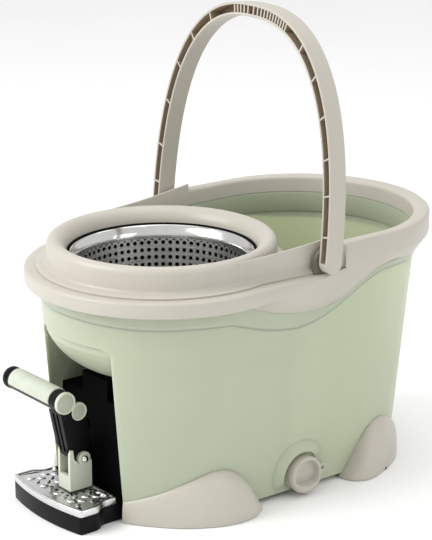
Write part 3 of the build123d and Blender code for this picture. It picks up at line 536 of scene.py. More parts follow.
@dataclass(frozen=True)
class Oval:
    """The outline round two circles, one on the basket axis and one behind it."""

    front: float
    rear: float
    shift: float

    def at(self, turn: float, grow: float = 0.0) -> Pair:
        """Gives a point of the outline.

        Args:
            turn: 0 to 1 round the outline, from the middle of the front over the right.
            grow: How far outside the outline.

        Returns:
            The point's X and Y.
        """
        side = 1.0 if turn <= 0.5 else -1.0
        part = turn * 2.0 if turn <= 0.5 else (1.0 - turn) * 2.0
        front, rear = self.front + grow, self.rear + grow
        lean = (front - rear) / self.shift
        quarter = pi / 2.0 + atan2(lean, sqrt(1.0 - lean * lean))
        first, last = ARC_ENDS
        if part <= first:
            angle = -pi / 2.0 + quarter * part / first
            return side * front * cos(angle), front * sin(angle)
        if part >= last:
            angle = pi / 2.0 - (pi - quarter) * (1.0 - part) / (1.0 - last)
            return side * rear * cos(angle), self.shift + rear * sin(angle)
        straight = (part - first) / (last - first)
        angle = quarter - pi / 2.0
        a = (front * cos(angle), front * sin(angle))
        b = (rear * cos(angle), self.shift + rear * sin(angle))
        return side * blend_value(a[0], b[0], straight), blend_value(a[1], b[1], straight)


@dataclass
class TubForm:
    """Sizes of the green moulding that its neighbours follow."""

    bottom: float = 6.0
    top: float = 246.0
    low_radius: float = 113.0
    top_radius: float = 129.4
    low_shift: float = 176.0
    top_shift: float = 184.0
    wall: float = 2.5

    def oval(self, z: float) -> Oval:
        """Gives the outline at one height.

        Args:
            z: The height.

        Returns:
            The outline.
        """
        part = (z - self.bottom) / (self.top - self.bottom)
        radius = blend_value(self.low_radius, self.top_radius, part)
        return Oval(radius, radius, blend_value(self.low_shift, self.top_shift, part))

    def point(self, turn: float, z: float, grow: float = 0.0) -> Point:
        """Gives a point on the wall, or beside it.

        Args:
            turn: 0 to 1 round the outline.
            z: The height.
            grow: How far outside the wall.

        Returns:
            The point.
        """
        x, y = self.oval(z).at(turn, grow)
        return (x, y, z)


TUB = TubForm()


@dataclass
class Tub:
    """The green tub: its moulded shell and the raised band under the rim."""

    proud: float = 1.6
    steps: int = 360
    wave: tuple[Pair, ...] = (
        (0.00, 220.0), (0.058, 219.7), (0.105, 219.0), (0.185, 217.5), (0.26, 217.6),
        (0.342, 215.9), (0.359, 213.2), (0.405, 204.2), (0.423, 200.8), (0.469, 195.7),
        (0.505, 194.8), (0.54, 199.0), (0.58, 208.0), (0.62, 221.0), (0.663, 233.0),
        (0.709, 236.0), (0.783, 232.0), (1.00, 232.0),
    )
    band_top: float = 240.0
    band_gap: float = 0.05
    band_edge: tuple[Pair, ...] = ((3.2, 0.1), (2.2, 0.35), (1.2, 0.7), (0.2, 0.93), (-1.4, 1.0))
    liner: Pair = (236.0, 258.0)
    liner_turns: Pair = (0.2895, 0.7105)
    liner_steps: int = 160

    def wave_height(self, turn: float) -> float:
        """Gives the lower edge of the raised band.

        Args:
            turn: 0 to 1 round the outline.

        Returns:
            Its height.
        """
        part = turn * 2.0 if turn <= 0.5 else (1.0 - turn) * 2.0
        return along(self.wave, part)

    def band(self) -> bpy.types.Object:
        """Makes the raised band, whose lower edge runs in waves.

        Returns:
            The band.
        """
        sheet = Sheet()
        rings = []
        for step in range(self.steps):
            turn = step / self.steps
            low = self.wave_height(turn)
            gap = self.band_gap
            ring = [TUB.point(turn, self.band_top, 2.0 * gap), TUB.point(turn, low - 4.0, gap)]
            for drop, share in self.band_edge:
                ring.append(TUB.point(turn, low - drop, gap + self.proud * share))
            ring.append(TUB.point(turn, self.band_top, gap + self.proud))
            rings.append(ring)
        sheet.rings(rings, onward=True)
        return sheet.piece("tub_raised_band", SAGE, Body.TUB, sharp=50.0)

    def well_line(self) -> bpy.types.Object:
        """Makes the liner at the top of the wash well, whose foot shows as a step.

        Returns:
            The liner.
        """
        sheet = Sheet()
        rings = []
        low, high = self.liner
        inside = -TUB.wall
        for step in range(self.liner_steps + 1):
            turn = blend_value(*self.liner_turns, step / self.liner_steps)
            rings.append([
                TUB.point(turn, high, inside - 0.15), TUB.point(turn, low, inside + 0.05),
                TUB.point(turn, low, inside - 2.2), TUB.point(turn, low + 0.8, inside - 2.9),
                TUB.point(turn, high, inside - 2.9),
            ])
        sheet.rings(rings, caps=True)
        return sheet.piece("well_step", SAGE, Body.TUB, sharp=50.0)

    def make(self) -> None:
        """Dresses the shell and adds the band and the liner."""
        dress_node("tub_shell", SAGE)
        self.band()
        self.well_line()


@dataclass
class Rim:
    """The cream ring on the tub's edge, low in front and raised round the wash well."""

    outline: Oval = field(default_factory=lambda: Oval(144.0, 138.5, 192.5))
    ledge: float = 248.0
    top: float = 276.0
    step: float = 132.0
    steps: int = 300
    inside: float = -5.1
    seat: float = 246.4
    front_inner: float = 235.0
    skirt_gap: float = 3.8
    ear_radius: float = 14.5
    ear_inner: float = 131.0
    ear_width: float = 5.2
    skirt: tuple[Pair, ...] = (
        (-150.0, 230.5), (-42.0, 230.5), (-3.0, 229.4), (17.0, 226.4), (41.0, 217.4),
        (74.0, 210.0), (104.0, 208.1), (123.0, 210.8), (142.0, 215.6), (152.0, 221.5),
        (167.0, 229.6), (186.0, 239.2), (214.0, 241.3), (255.0, 236.6), (340.0, 236.6))
    band: tuple[Pair, ...] = ((-150.0, 233.5), (20.0, 233.5), (60.0, 236.0), (160.0, 252.0),
                              (340.0, 252.0))
    liner_top: float = 258.0

    def section(self, turn: float, top: float) -> list[Point]:
        """Gives the closed section of the ring at one place.

        Args:
            turn: 0 to 1 round the outline.
            top: Height of the ring's top there.

        Returns:
            The section's points.
        """
        y = self.outline.at(turn)[1]
        low = along(self.skirt, TUB.point(turn, self.ledge - 30.0)[1])
        band = along(self.band, y)
        raised = (top - self.ledge) / (self.top - self.ledge)
        inner = blend_value(self.front_inner, self.liner_top, raised)

        def outer(grow: float, z: float) -> Point:
            """Gives a point on the band's outline, grown."""
            x, place = self.outline.at(turn, grow)
            return (x, place, z)

        def between(part: float, z: float) -> Point:
            """Gives a point part of the way from the tub's wall to the band."""
            near = Vector(TUB.point(turn, z, self.skirt_gap))
            far = Vector(outer(0.0, z))
            return tuple(near.lerp(far, part))

        return [
            TUB.point(turn, low, 0.4), TUB.point(turn, low - 0.3, 2.6),
            TUB.point(turn, low + 0.6, 3.7), between(0.30, blend_value(low, band, 0.35)),
            between(0.66, blend_value(low, band, 0.7)), between(0.93, band - 1.2),
            outer(0.0, band + 1.0), outer(0.0, top - 3.0), outer(-0.4, top - 1.5),
            outer(-1.5, top - 0.4), outer(-3.0, top), TUB.point(turn, top, self.inside + 3.0),
            TUB.point(turn, top - 0.5, self.inside + 1.2),
            TUB.point(turn, top - 1.8, self.inside + 0.2),
            TUB.point(turn, top - 3.6, self.inside), TUB.point(turn, inner + 1.0, self.inside),
            TUB.point(turn, inner, self.inside + 1.0), TUB.point(turn, inner, -TUB.wall - 0.1),
            TUB.point(turn, self.seat, -TUB.wall - 0.1), TUB.point(turn, self.seat, 0.4),
        ]

    def turn_at(self, y: float) -> float:
        """Finds where the right side of the outline passes a place.

        Args:
            y: The place along the tub.

        Returns:
            The turn, from 0 to 0.5.
        """
        low, high = 0.0, 0.5
        for _ in range(40):
            middle = (low + high) / 2.0
            if self.outline.at(middle)[1] < y:
                low = middle
            else:
                high = middle
        return low

    def make(self) -> bpy.types.Object:
        """Makes the ring, with a step up on each side, and the ears for the handle's pins.

        Returns:
            The ring.
        """
        sheet = Sheet()
        rise = self.top - self.ledge
        corner = [(0.0, rise - 3.0), (0.25, rise - 1.6), (1.1, rise - 0.5), (2.6, rise)]
        stations: list[Pair] = []
        edge = self.turn_at(self.step)
        half = self.steps // 2
        for index in range(half + 1):
            turn = 0.5 * index / half
            y = self.outline.at(turn)[1]
            if not self.step - 1.5 < y < self.step + 4.0:
                stations.append((turn, self.top if y > self.step else self.ledge))
        right = [s for s in stations if s[0] < edge]
        right.append((edge - 0.0004, self.ledge))
        right += [(self.turn_at(self.step + dy), self.ledge + dz) for dy, dz in corner]
        right += [s for s in stations if s[0] > right[-1][0] + 0.0005]
        left = [(1.0 - turn, top) for turn, top in reversed(right) if 0.0 < turn < 0.4999]
        sheet.rings([self.section(turn, top) for turn, top in right + left], onward=True)
        ears = Sheet()
        for side in (1.0, -1.0):
            self.ear(ears, side)
        # The ears take a near-black finish: painted shade in the gap round each leg's end.
        ears.piece("handle_ears_painted_shade", EAR_SHADE, Body.TUB, sharp=42.0)
        return sheet.piece("rim_ring_moulding", CREAM, Body.TUB, ["rim_ring"],
                           sharp=42.0)

    def ear(self, sheet: Sheet, side: float) -> None:
        """Adds the ear that carries one handle pin.

        Args:
            sheet: The ears' mesh.
            side: 1 for the right ear, -1 for the left.
        """
        place = TO_FRAME.inverted() @ PIVOT
        radius, low = self.ear_radius, self.ledge - 1.0
        outline = [(place.y - radius, low)]
        for index in range(13):
            angle = pi - pi * index / 12
            outline.append((place.y + radius * cos(angle), place.z + radius * sin(angle)))
        outline.append((place.y + radius, low))
        corners = [(side * self.ear_inner, y, z) for y, z in outline]
        sheet.prism(corners, (side * self.ear_width, 0.0, 0.0))


@dataclass
class Cover:
    """The collar round the basket, its ledge and the walls beside the wash well."""

    lip: float = 100.0
    lip_z: float = 264.0
    crest: float = 277.0
    outer: float = 120.5
    ledge: float = 251.0
    edge: float = 131.6
    wall: float = 2.8
    wall_top: float = 283.0
    wall_ends: Pair = (6.0, 131.6)
    wall_out: float = 129.0
    wall_steps: int = 36

    def collar(self, sheet: Sheet) -> None:
        """Adds the rolled collar and the ledge at its foot.

        Args:
            sheet: The cover's mesh.
        """
        lip, crest, outer = self.lip, self.crest, self.outer
        profile = [
            (lip + 0.3, self.ledge - 2.0), (lip - 0.2, self.lip_z - 6.0), (lip - 0.2, self.lip_z),
            (lip + 0.6, self.lip_z + 3.2), (lip + 2.6, self.lip_z + 7.0),
            (lip + 5.6, crest - 3.2), (lip + 8.8, crest - 1.2), (lip + 12.0, crest - 0.2),
            (outer - 5.5, crest - 0.4), (outer - 3.0, crest - 1.6), (outer - 1.2, crest - 3.6),
            (outer - 0.4, crest - 6.0), (outer, crest - 9.0), (outer + 0.3, self.ledge + 4.0),
            (outer + 0.9, self.ledge + 1.8), (outer + 2.4, self.ledge + 0.5),
            (outer + 4.6, self.ledge), (self.edge - 0.8, self.ledge - 0.6),
            (self.edge, self.ledge - 1.4), (self.edge, self.ledge - 2.8),
            (outer - self.wall, self.ledge - 2.8), (outer - self.wall, crest - 9.0),
            (lip + self.wall, self.lip_z - 1.0), (lip + self.wall, self.ledge - 2.0),
        ]
        sheet.turned(profile, 160)

    def walls(self) -> list[list[Point]]:
        """Gives the sections of the right wall, from the collar to the rim's step.

        Returns:
            The sections.
        """
        rings = []
        low = self.ledge - 2.8
        for step in range(self.wall_steps + 1):
            part = step / self.wall_steps
            y = blend_value(*self.wall_ends, part)
            x = blend_value(self.outer, self.wall_out, part)
            top = blend_value(self.crest - 3.0, self.wall_top, part) - 1.5 * sin(pi * part)
            x0 = x - self.wall
            rings.append([
                (x0, y, low), (x0, y, top - 1.0), (x0 + 0.3, y, top - 0.3), (x0 + 1.0, y, top),
                (x - 1.0, y, top), (x - 0.3, y, top - 0.3), (x, y, top - 1.0),
                (x, y, self.ledge + 3.5), (x + 0.5, y, self.ledge + 1.5),
                (x + 1.8, y, self.ledge + 0.4), (x + 3.6, y, self.ledge),
                (x + 6.0, y, self.ledge - 1.0), (x + 6.0, y, low),
            ])
        return rings

    def make(self) -> bpy.types.Object:
        """Makes the cover.

        Returns:
            The cover.
        """
        sheet = Sheet()
        self.collar(sheet)
        right = self.walls()
        sheet.rings(right, caps=True)
        sheet.rings([[(-x, y, z) for x, y, z in ring] for ring in right], caps=True)
        return sheet.piece("cover_moulding", CREAM, Body.TUB, ["basket_cover"],
                           sharp=42.0)


@dataclass
class Handle:
    """The bail, a channel open to the front with ribs across it."""

    half: float = 149.0
    rise: float = 246.0
    leg: float = 12.0
    crown: float = 14.0
    width: float = 22.0
    skin: float = 2.4
    power: float = 2.47
    lean: float = 5.0
    steps: int = 120
    end_steps: tuple[Pair, ...] = ((0.9, 0.0), (0.25, 0.35), (0.0, 1.0))
    end_round: float = 1.1
    end_facets: int = 24
    grip_rib: float = 1.9
    lone_rib: float = 1.8
    grip_ribs: tuple[float, float, int] = (0.398, 0.542, 17)
    lone_ribs: tuple[float, ...] = (0.022, 0.07, 0.12, 0.185, 0.258, 0.33, 0.63, 0.71, 0.785,
                                    0.86, 0.93, 0.978)

    def line(self, turn: float, half: float, rise: float) -> Pair:
        """Gives a point of one arch.

        Args:
            turn: 0 at the right foot to 1 at the left foot.
            half: Half width of the arch.
            rise: Its height.

        Returns:
            The point's X and Z about the pivot.
        """
        angle = pi * turn
        side = 1.0 if cos(angle) >= 0.0 else -1.0
        across = half * side * abs(cos(angle)) ** (2.0 / self.power)
        return across, rise * max(0.0, sin(angle)) ** (2.0 / self.power)

    def spot(self, turn: float, depth: float, y: float) -> Point:
        """Gives a point inside the bail's section.

        Args:
            turn: 0 to 1 along the arch.
            depth: 0 on the outer face to 1 on the inner face.
            y: Place across the width.

        Returns:
            The point about the pivot.
        """
        x0, z0 = self.line(turn, self.half, self.rise)
        x1, z1 = self.line(turn, self.half - self.leg, self.rise - self.crown)
        return (blend_value(x0, x1, depth), y, blend_value(z0, z1, depth))

    def turns(self) -> list[float]:
        """Gives stations that are close together near the feet, where the arch is steep.

        Returns:
            The turns, from foot to foot.
        """
        return [0.5 - 0.5 * cos(pi * step / self.steps) for step in range(self.steps + 1)]

    def section(self, turn: float) -> list[Point]:
        """Gives the channel's section.

        Args:
            turn: 0 to 1 along the arch.

        Returns:
            The section's points.
        """
        share = self.skin / self.leg
        front, back = -self.width / 2.0, self.width / 2.0
        floor = back - 2.0 * self.skin
        corners = [(0.0, back - 1.0), (0.0, front + 0.8), (0.06, front), (share - 0.05, front),
                   (share, front + 0.5), (share, floor), (1.0 - share, floor),
                   (1.0 - share, front + 0.5), (1.05 - share, front), (0.94, front),
                   (1.0, front + 0.8), (1.0, back - 1.0), (0.92, back), (0.08, back)]
        return [self.spot(turn, depth, y) for depth, y in corners]

    def foot(self, side: float) -> list[list[Point]]:
        """Gives the rings of the rounded end below the pivot.

        Args:
            side: 1 for the right leg, -1 for the left.

        Returns:
            The rings, from the pivot down.
        """
        end = self.width / 2.0
        outer = [self.round_end(side * (self.half - self.end_round * part), end - less)
                 for less, part in self.end_steps]
        inner = [self.round_end(side * (self.half - self.leg + self.end_round * part), end - less)
                 for less, part in reversed(self.end_steps)]
        return outer + inner

    def round_end(self, x: float, radius: float) -> list[Point]:
        """Gives a half disc outline under the pivot.

        Args:
            x: Its place across the tub.
            radius: Its radius.

        Returns:
            The outline.
        """
        angles = [pi * index / self.end_facets for index in range(self.end_facets + 1)]
        return [(x, radius * cos(angle), -radius * sin(angle)) for angle in angles]

    def rib(self, sheet: Sheet, turn: float, thickness: float) -> None:
        """Adds one rib across the channel.

        Args:
            sheet: The handle's mesh.
            turn: Its place along the arch.
            thickness: Its thickness.
        """
        share = self.skin / self.leg * 0.8
        here = Vector(self.spot(turn, 0.5, 0.0))
        ahead = Vector(self.spot(min(1.0, turn + 0.002), 0.5, 0.0))
        way = (ahead - here).normalized() * thickness / 2.0
        front = -self.width / 2.0 + 0.7
        floor = self.width / 2.0 - 1.8 * self.skin
        corners = [Vector(self.spot(turn, depth, y)) for depth, y in
                   ((share, front), (share, floor), (1 - share, floor), (1 - share, front))]
        sheet.rings([[tuple(c - way) for c in corners], [tuple(c + way) for c in corners]],
                    caps=True)

    def make(self) -> bpy.types.Object:
        """Makes the bail and its ribs.

        Returns:
            The bail.
        """
        place = TO_FRAME.inverted() @ PIVOT
        turn = Matrix.Translation(place) @ Matrix.Rotation(radians(-self.lean), 4, "X")
        sheet = Sheet()
        sheet.rings([self.section(t) for t in self.turns()], caps=True)
        for side in (1.0, -1.0):
            sheet.rings(self.foot(side), caps=True)
        first, last, count = self.grip_ribs
        for index in range(count):
            self.rib(sheet, blend_value(first, last, index / (count - 1)), self.grip_rib)
        for place_along in self.lone_ribs:
            self.rib(sheet, place_along, self.lone_rib)
        bail = sheet.piece("handle_bail", CREAM, Body.HANDLE, ["handle"],
                           sharp=40.0, turn=turn)
        self.shade_channel(bail, turn)
        return bail

    def shade_channel(self, bail: bpy.types.Object, turn: Matrix) -> None:
        """Gives the inside of the channel a darker, browner, rougher copy of the cream: painted
        shade in the channel.

        Args:
            bail: The handle's object.
            turn: The turn from the upright arch to the working place.
        """
        bail.data.materials.append(CREAM_SHADE.material())
        back = (TO_FRAME @ turn).inverted()
        deep = -self.width / 2.0 + 1.2
        for polygon in bail.data.polygons:
            spot = back @ polygon.center
            if spot.z < 2.0 or spot.y < deep:
                continue
            if spot.y > self.width / 2.0 - 2.0 * self.skin + 0.2:
                continue
            depth = self.depth_of(spot)
            if 0.12 < depth < 0.88:
                polygon.material_index = 1

    def depth_of(self, spot: Vector) -> float:
        """Tells how deep a point lies between the outer and the inner arch.

        Args:
            spot: The point about the pivot.

        Returns:
            0 on the outer face to 1 on the inner face.
        """
        p = self.power
        outer = (abs(spot.x) / self.half) ** p + (max(0.0, spot.z) / self.rise) ** p
        half, rise = self.half - self.leg, self.rise - self.crown
        inner = (abs(spot.x) / half) ** p + (max(0.0, spot.z) / rise) ** p
        out_gap, in_gap = 1.0 - outer ** (1.0 / p), inner ** (1.0 / p) - 1.0
        return out_gap / max(1e-6, out_gap + in_gap)


@dataclass
class Basket:
    """The spin basket: pierced sheet, flared rim and pierced floor."""

    low: float = 82.0
    shoulder: float = 91.5
    rim: float = 97.5
    floor: float = 166.0
    top: float = 260.0
    sheet: float = 1.2
    holes_round: int = 72
    rows: int = 9
    hole: float = 4.6
    corners: int = 12
    near_corner: float = 0.45
    floor_rows: tuple[float, float, int] = (36.0, 78.0, 5)
    floor_middle: float = 8.0
    floor_facets: int = 144

    def wall_point(self, angle: float, height: float, depth: float = 0.0) -> Point:
        """Gives a point in the wall.

        Args:
            angle: Place round the basket.
            height: Height above the floor.
            depth: How far below the inside face.

        Returns:
            The point.
        """
        part = (height - self.floor) / (self.top - 10.0 - self.floor)
        radius = blend_value(self.low, self.shoulder, part) - self.sheet + depth
        return (radius * cos(angle), radius * sin(angle), height)

    def pierced(self, sheet: Sheet, spot: Callable[[float, float, float], Point],
                centre: Pair, half: Pair, hole: Pair) -> None:
        """Adds one cell of sheet with a round hole in it.

        Args:
            sheet: The mesh.
            spot: Gives a point from two surface coordinates and a depth.
            centre: The hole's middle in those coordinates.
            half: Half the cell's size in each.
            hole: The hole's radius in each.
        """
        outer, inner = [], []
        for index in range(self.corners):
            angle = 2.0 * pi * (index + 0.5) / self.corners
            c, s = cos(angle), sin(angle)
            if abs(abs(c) - abs(s)) < self.near_corner:
                edge = (c / abs(c), s / abs(s))
            else:
                reach = 1.0 / max(abs(c), abs(s))
                edge = (c * reach, s * reach)
            outer.append((centre[0] + half[0] * edge[0], centre[1] + half[1] * edge[1]))
            inner.append((centre[0] + hole[0] * c, centre[1] + hole[1] * s))
        layers = [(outer, 0.0), (inner, 0.0), (inner, self.sheet), (outer, self.sheet)]
        sheet.rings([[spot(*p, depth) for p in loop] for loop, depth in layers])

    def cell_row(self, sheet: Sheet, spot: Callable[[float, float, float], Point],
                 place: float, radius: float, count: int, pitch: float) -> None:
        """Adds one row of pierced cells all the way round.

        Args:
            sheet: The mesh.
            spot: Gives a point from an angle, a place and a depth.
            place: Middle of the row: its height, or its radius on the floor.
            radius: Radius of the row.
            count: How many cells.
            pitch: Width of the row.
        """
        step = 2.0 * pi / count
        for column in range(count):
            self.pierced(sheet, spot, ((column + 0.5) * step, place), (step / 2.0, pitch / 2.0),
                         (self.hole / 2.0 / radius, self.hole / 2.0))

    def plain_band(self, sheet: Sheet, spot: Callable[[float, float, float], Point],
                   places: Pair, count: int) -> None:
        """Adds both faces of a band without holes.

        Args:
            sheet: The mesh.
            spot: Gives a point from an angle, a place and a depth.
            places: Where the band starts and ends.
            count: Facets round it.
        """
        for depth in (0.0, self.sheet):
            sheet.rings([[spot(2.0 * pi * i / count, place, depth) for i in range(count)]
                         for place in places])

    def wall(self) -> bpy.types.Object:
        """Makes the pierced wall.

        Returns:
            The wall.
        """
        sheet = Sheet()
        low, high = self.floor + 8.0, self.top - 14.0
        pitch = (high - low) / self.rows
        for row in range(self.rows):
            height = low + (row + 0.5) * pitch
            radius = hypot(*self.wall_point(0.0, height)[:2])
            self.cell_row(sheet, self.wall_point, height, radius, self.holes_round, pitch)
        for places in ((self.floor + 3.0, low), (high, self.top - 9.0)):
            self.plain_band(sheet, self.wall_point, places, self.holes_round * 4)
        return sheet.piece("basket_wall", STAINLESS, Body.BASKET,
                           sharp=50.0)

    def floor_disc(self) -> bpy.types.Object:
        """Makes the pierced floor.

        Returns:
            The floor.
        """
        sheet = Sheet()
        level = self.floor + self.sheet

        def spot(angle: float, radius: float, depth: float = 0.0) -> Point:
            """Gives a point in the floor."""
            return (radius * cos(angle), radius * sin(angle), level - depth)

        first, last, rows = self.floor_rows
        pitch = (last - first) / rows
        for row in range(rows):
            radius = first + (row + 0.5) * pitch
            count = int(2.0 * pi * radius / (pitch * 1.35))
            self.cell_row(sheet, spot, radius, radius, count, pitch)
        for places in ((self.floor_middle, first), (last, self.low - 1.0)):
            self.plain_band(sheet, spot, places, self.floor_facets)
        return sheet.piece("basket_floor", STAINLESS, Body.BASKET,
                           sharp=50.0)

    def rolled_rim(self) -> bpy.types.Object:
        """Makes the flared and rolled rim.

        Returns:
            The rim.
        """
        r, s, top = self.rim, self.shoulder, self.top
        profile = [(s - 1.6, top - 14.5), (s - 1.5, top - 10.5), (s - 0.9, top - 8.0),
                   (s + 0.6, top - 5.4), (s + 2.4, top - 3.2), (r - 2.2, top - 0.9),
                   (r - 1.0, top - 0.1), (r - 0.2, top - 0.5), (r, top - 1.6),
                   (r - 0.5, top - 2.8), (r - 1.6, top - 3.4), (s + 1.6, top - 6.4),
                   (s + 0.3, top - 9.0), (s - 0.4, top - 14.5)]
        sheet = Sheet()
        sheet.turned(profile, 160)
        return sheet.piece("basket_rolled_rim", CHROME, Body.BASKET, ["basket"],
                           sharp=50.0)

    def painted_shade_sleeve(self) -> bpy.types.Object:
        """Makes the dark sleeve round the basket: painted shade that darkens what shows through
        the holes.

        Returns:
            The sleeve.
        """
        inner, outer = self.rim + 1.2, self.rim + 2.2
        low, high = self.floor + 6.0, self.top + 1.5
        sheet = Sheet()
        sheet.turned([(inner, low), (outer, low), (outer, high), (inner, high)], 120)
        # A black sheet between basket and tub: painted shade behind the holes.
        return sheet.piece("painted_shade_sleeve", BLACK, Body.TUB)

    def make(self) -> None:
        """Makes the basket and dresses what sits in it."""
        self.wall()
        self.floor_disc()
        self.rolled_rim()
        self.painted_shade_sleeve()
        dress_node("basket_seat", CREAM)
        dress_node("basket_hub", BLACK)
        dress_node("basket_screw", STEEL)


@dataclass
class Feet:
    """Four flared feet that wrap the corners of the tub."""

    floor: float = 0.8
    start: float = -58.0
    front_end: float = 19.5
    rear_end: float = 11.5
    front_bulge: tuple[Pair, ...] = ((-58.0, 4.5), (-40.0, 9.0), (-20.0, 18.0), (-5.0, 24.5),
                                     (6.0, 24.5), (13.0, 19.0), (17.0, 14.0), (19.5, 0.4))
    rear_bulge: tuple[Pair, ...] = ((-58.0, 4.5), (-30.0, 12.5), (-14.0, 17.5), (-3.0, 22.5),
                                    (3.0, 22.5), (8.5, 14.0), (11.5, 0.4))
    front_heights: tuple[Pair, ...] = ((-58.0, 22.0), (-41.0, 33.0), (-24.0, 46.0),
                                       (-11.0, 54.0), (-2.0, 52.0), (6.0, 42.0), (11.5, 27.0),
                                       (16.0, 12.0), (19.5, 3.0))
    rear_heights: tuple[Pair, ...] = ((-58.0, 23.0), (-41.0, 37.0), (-24.0, 54.0),
                                      (-14.0, 58.0), (-6.0, 50.0), (0.0, 36.0), (5.0, 20.0),
                                      (9.0, 9.0), (11.5, 3.0))
    far_centre: float = 176.0
    steps: int = 64
    layers: int = 14

    def section(self, angle: float, front: bool) -> list[Point]:
        """Gives a foot's section at one angle round the tub's nearer centre.

        Args:
            angle: Degrees from the +X axis.
            front: Whether it is a front foot.

        Returns:
            The section's points.
        """
        height = along(self.front_heights if front else self.rear_heights, angle)
        bulge = along(self.front_bulge if front else self.rear_bulge, angle)
        turn = radians(angle)
        loop = []
        for index in range(self.layers + 1):
            part = index / self.layers
            share = 1.0 - (1.0 - part) ** 1.7
            z = self.floor + (height - self.floor) * share
            swell = max(0.0, 1.0 - share ** 2.1) ** 0.62
            foot_in = 0.985 if index == 0 else 1.0
            radius = TUB.oval(max(z, TUB.bottom)).front + 0.3 + bulge * swell * foot_in
            loop.append((radius * cos(turn), radius * sin(turn), z))
        for z in (height * 0.66, height * 0.33, self.floor):
            radius = TUB.oval(max(z, TUB.bottom)).front + 0.2
            loop.append((radius * cos(turn), radius * sin(turn), z))
        return loop

    def make(self) -> None:
        """Makes the four feet and their pads."""
        for end, last in (("front", self.front_end), ("rear", self.rear_end)):
            front = end == "front"
            rings = [self.section(blend_value(self.start, last, i / self.steps), front)
                     for i in range(self.steps + 1)]
            for side, across in (("right", 1.0), ("left", -1.0)):
                sheet = Sheet()
                sheet.rings([[(across * x, y if front else self.far_centre - y, z)
                              for x, y, z in ring] for ring in rings], caps=True)
                node = f"foot_{end}_{side}"
                sheet.piece(f"{node}_moulding", CREAM, Body.TUB, [node],
                            sharp=55.0)
        dress_node("foot_pads", BLACK_RUBBER)


def rounded(corners: Sequence[Point], steps: int = 6) -> list[Pair]:
    """Rounds the corners of an outline.

    Args:
        corners: X, Y and rounding radius of each corner.
        steps: Facets in each rounding.

    Returns:
        The rounded outline.
    """
    outline = []
    count = len(corners)
    for index, (x, y, radius) in enumerate(corners):
        here = Vector((x, y))
        if radius <= 0.0:
            outline.append((x, y))
            continue
        before = Vector(corners[index - 1][:2]) - here
        after = Vector(corners[(index + 1) % count][:2]) - here
        reach = min(radius, before.length * 0.49, after.length * 0.49)
        a = here + before.normalized() * reach
        b = here + after.normalized() * reach
        for step in range(steps + 1):
            part = step / steps
            p = a.lerp(here, part).lerp(here.lerp(b, part), part)
            outline.append((p.x, p.y))
    return outline


def inset(outline: Sequence[Pair], amount: float) -> list[Pair]:
    """Moves an outline that runs anticlockwise inwards.

    Args:
        outline: Points in order.
        amount: The distance.

    Returns:
        The moved outline.
    """
    moved = []
    count = len(outline)
    for index, (x, y) in enumerate(outline):
        before, after = outline[index - 1], outline[(index + 1) % count]
        dx, dy = after[0] - before[0], after[1] - before[1]
        length = hypot(dx, dy) or 1.0
        moved.append((x - dy / length * amount, y + dx / length * amount))
    return moved


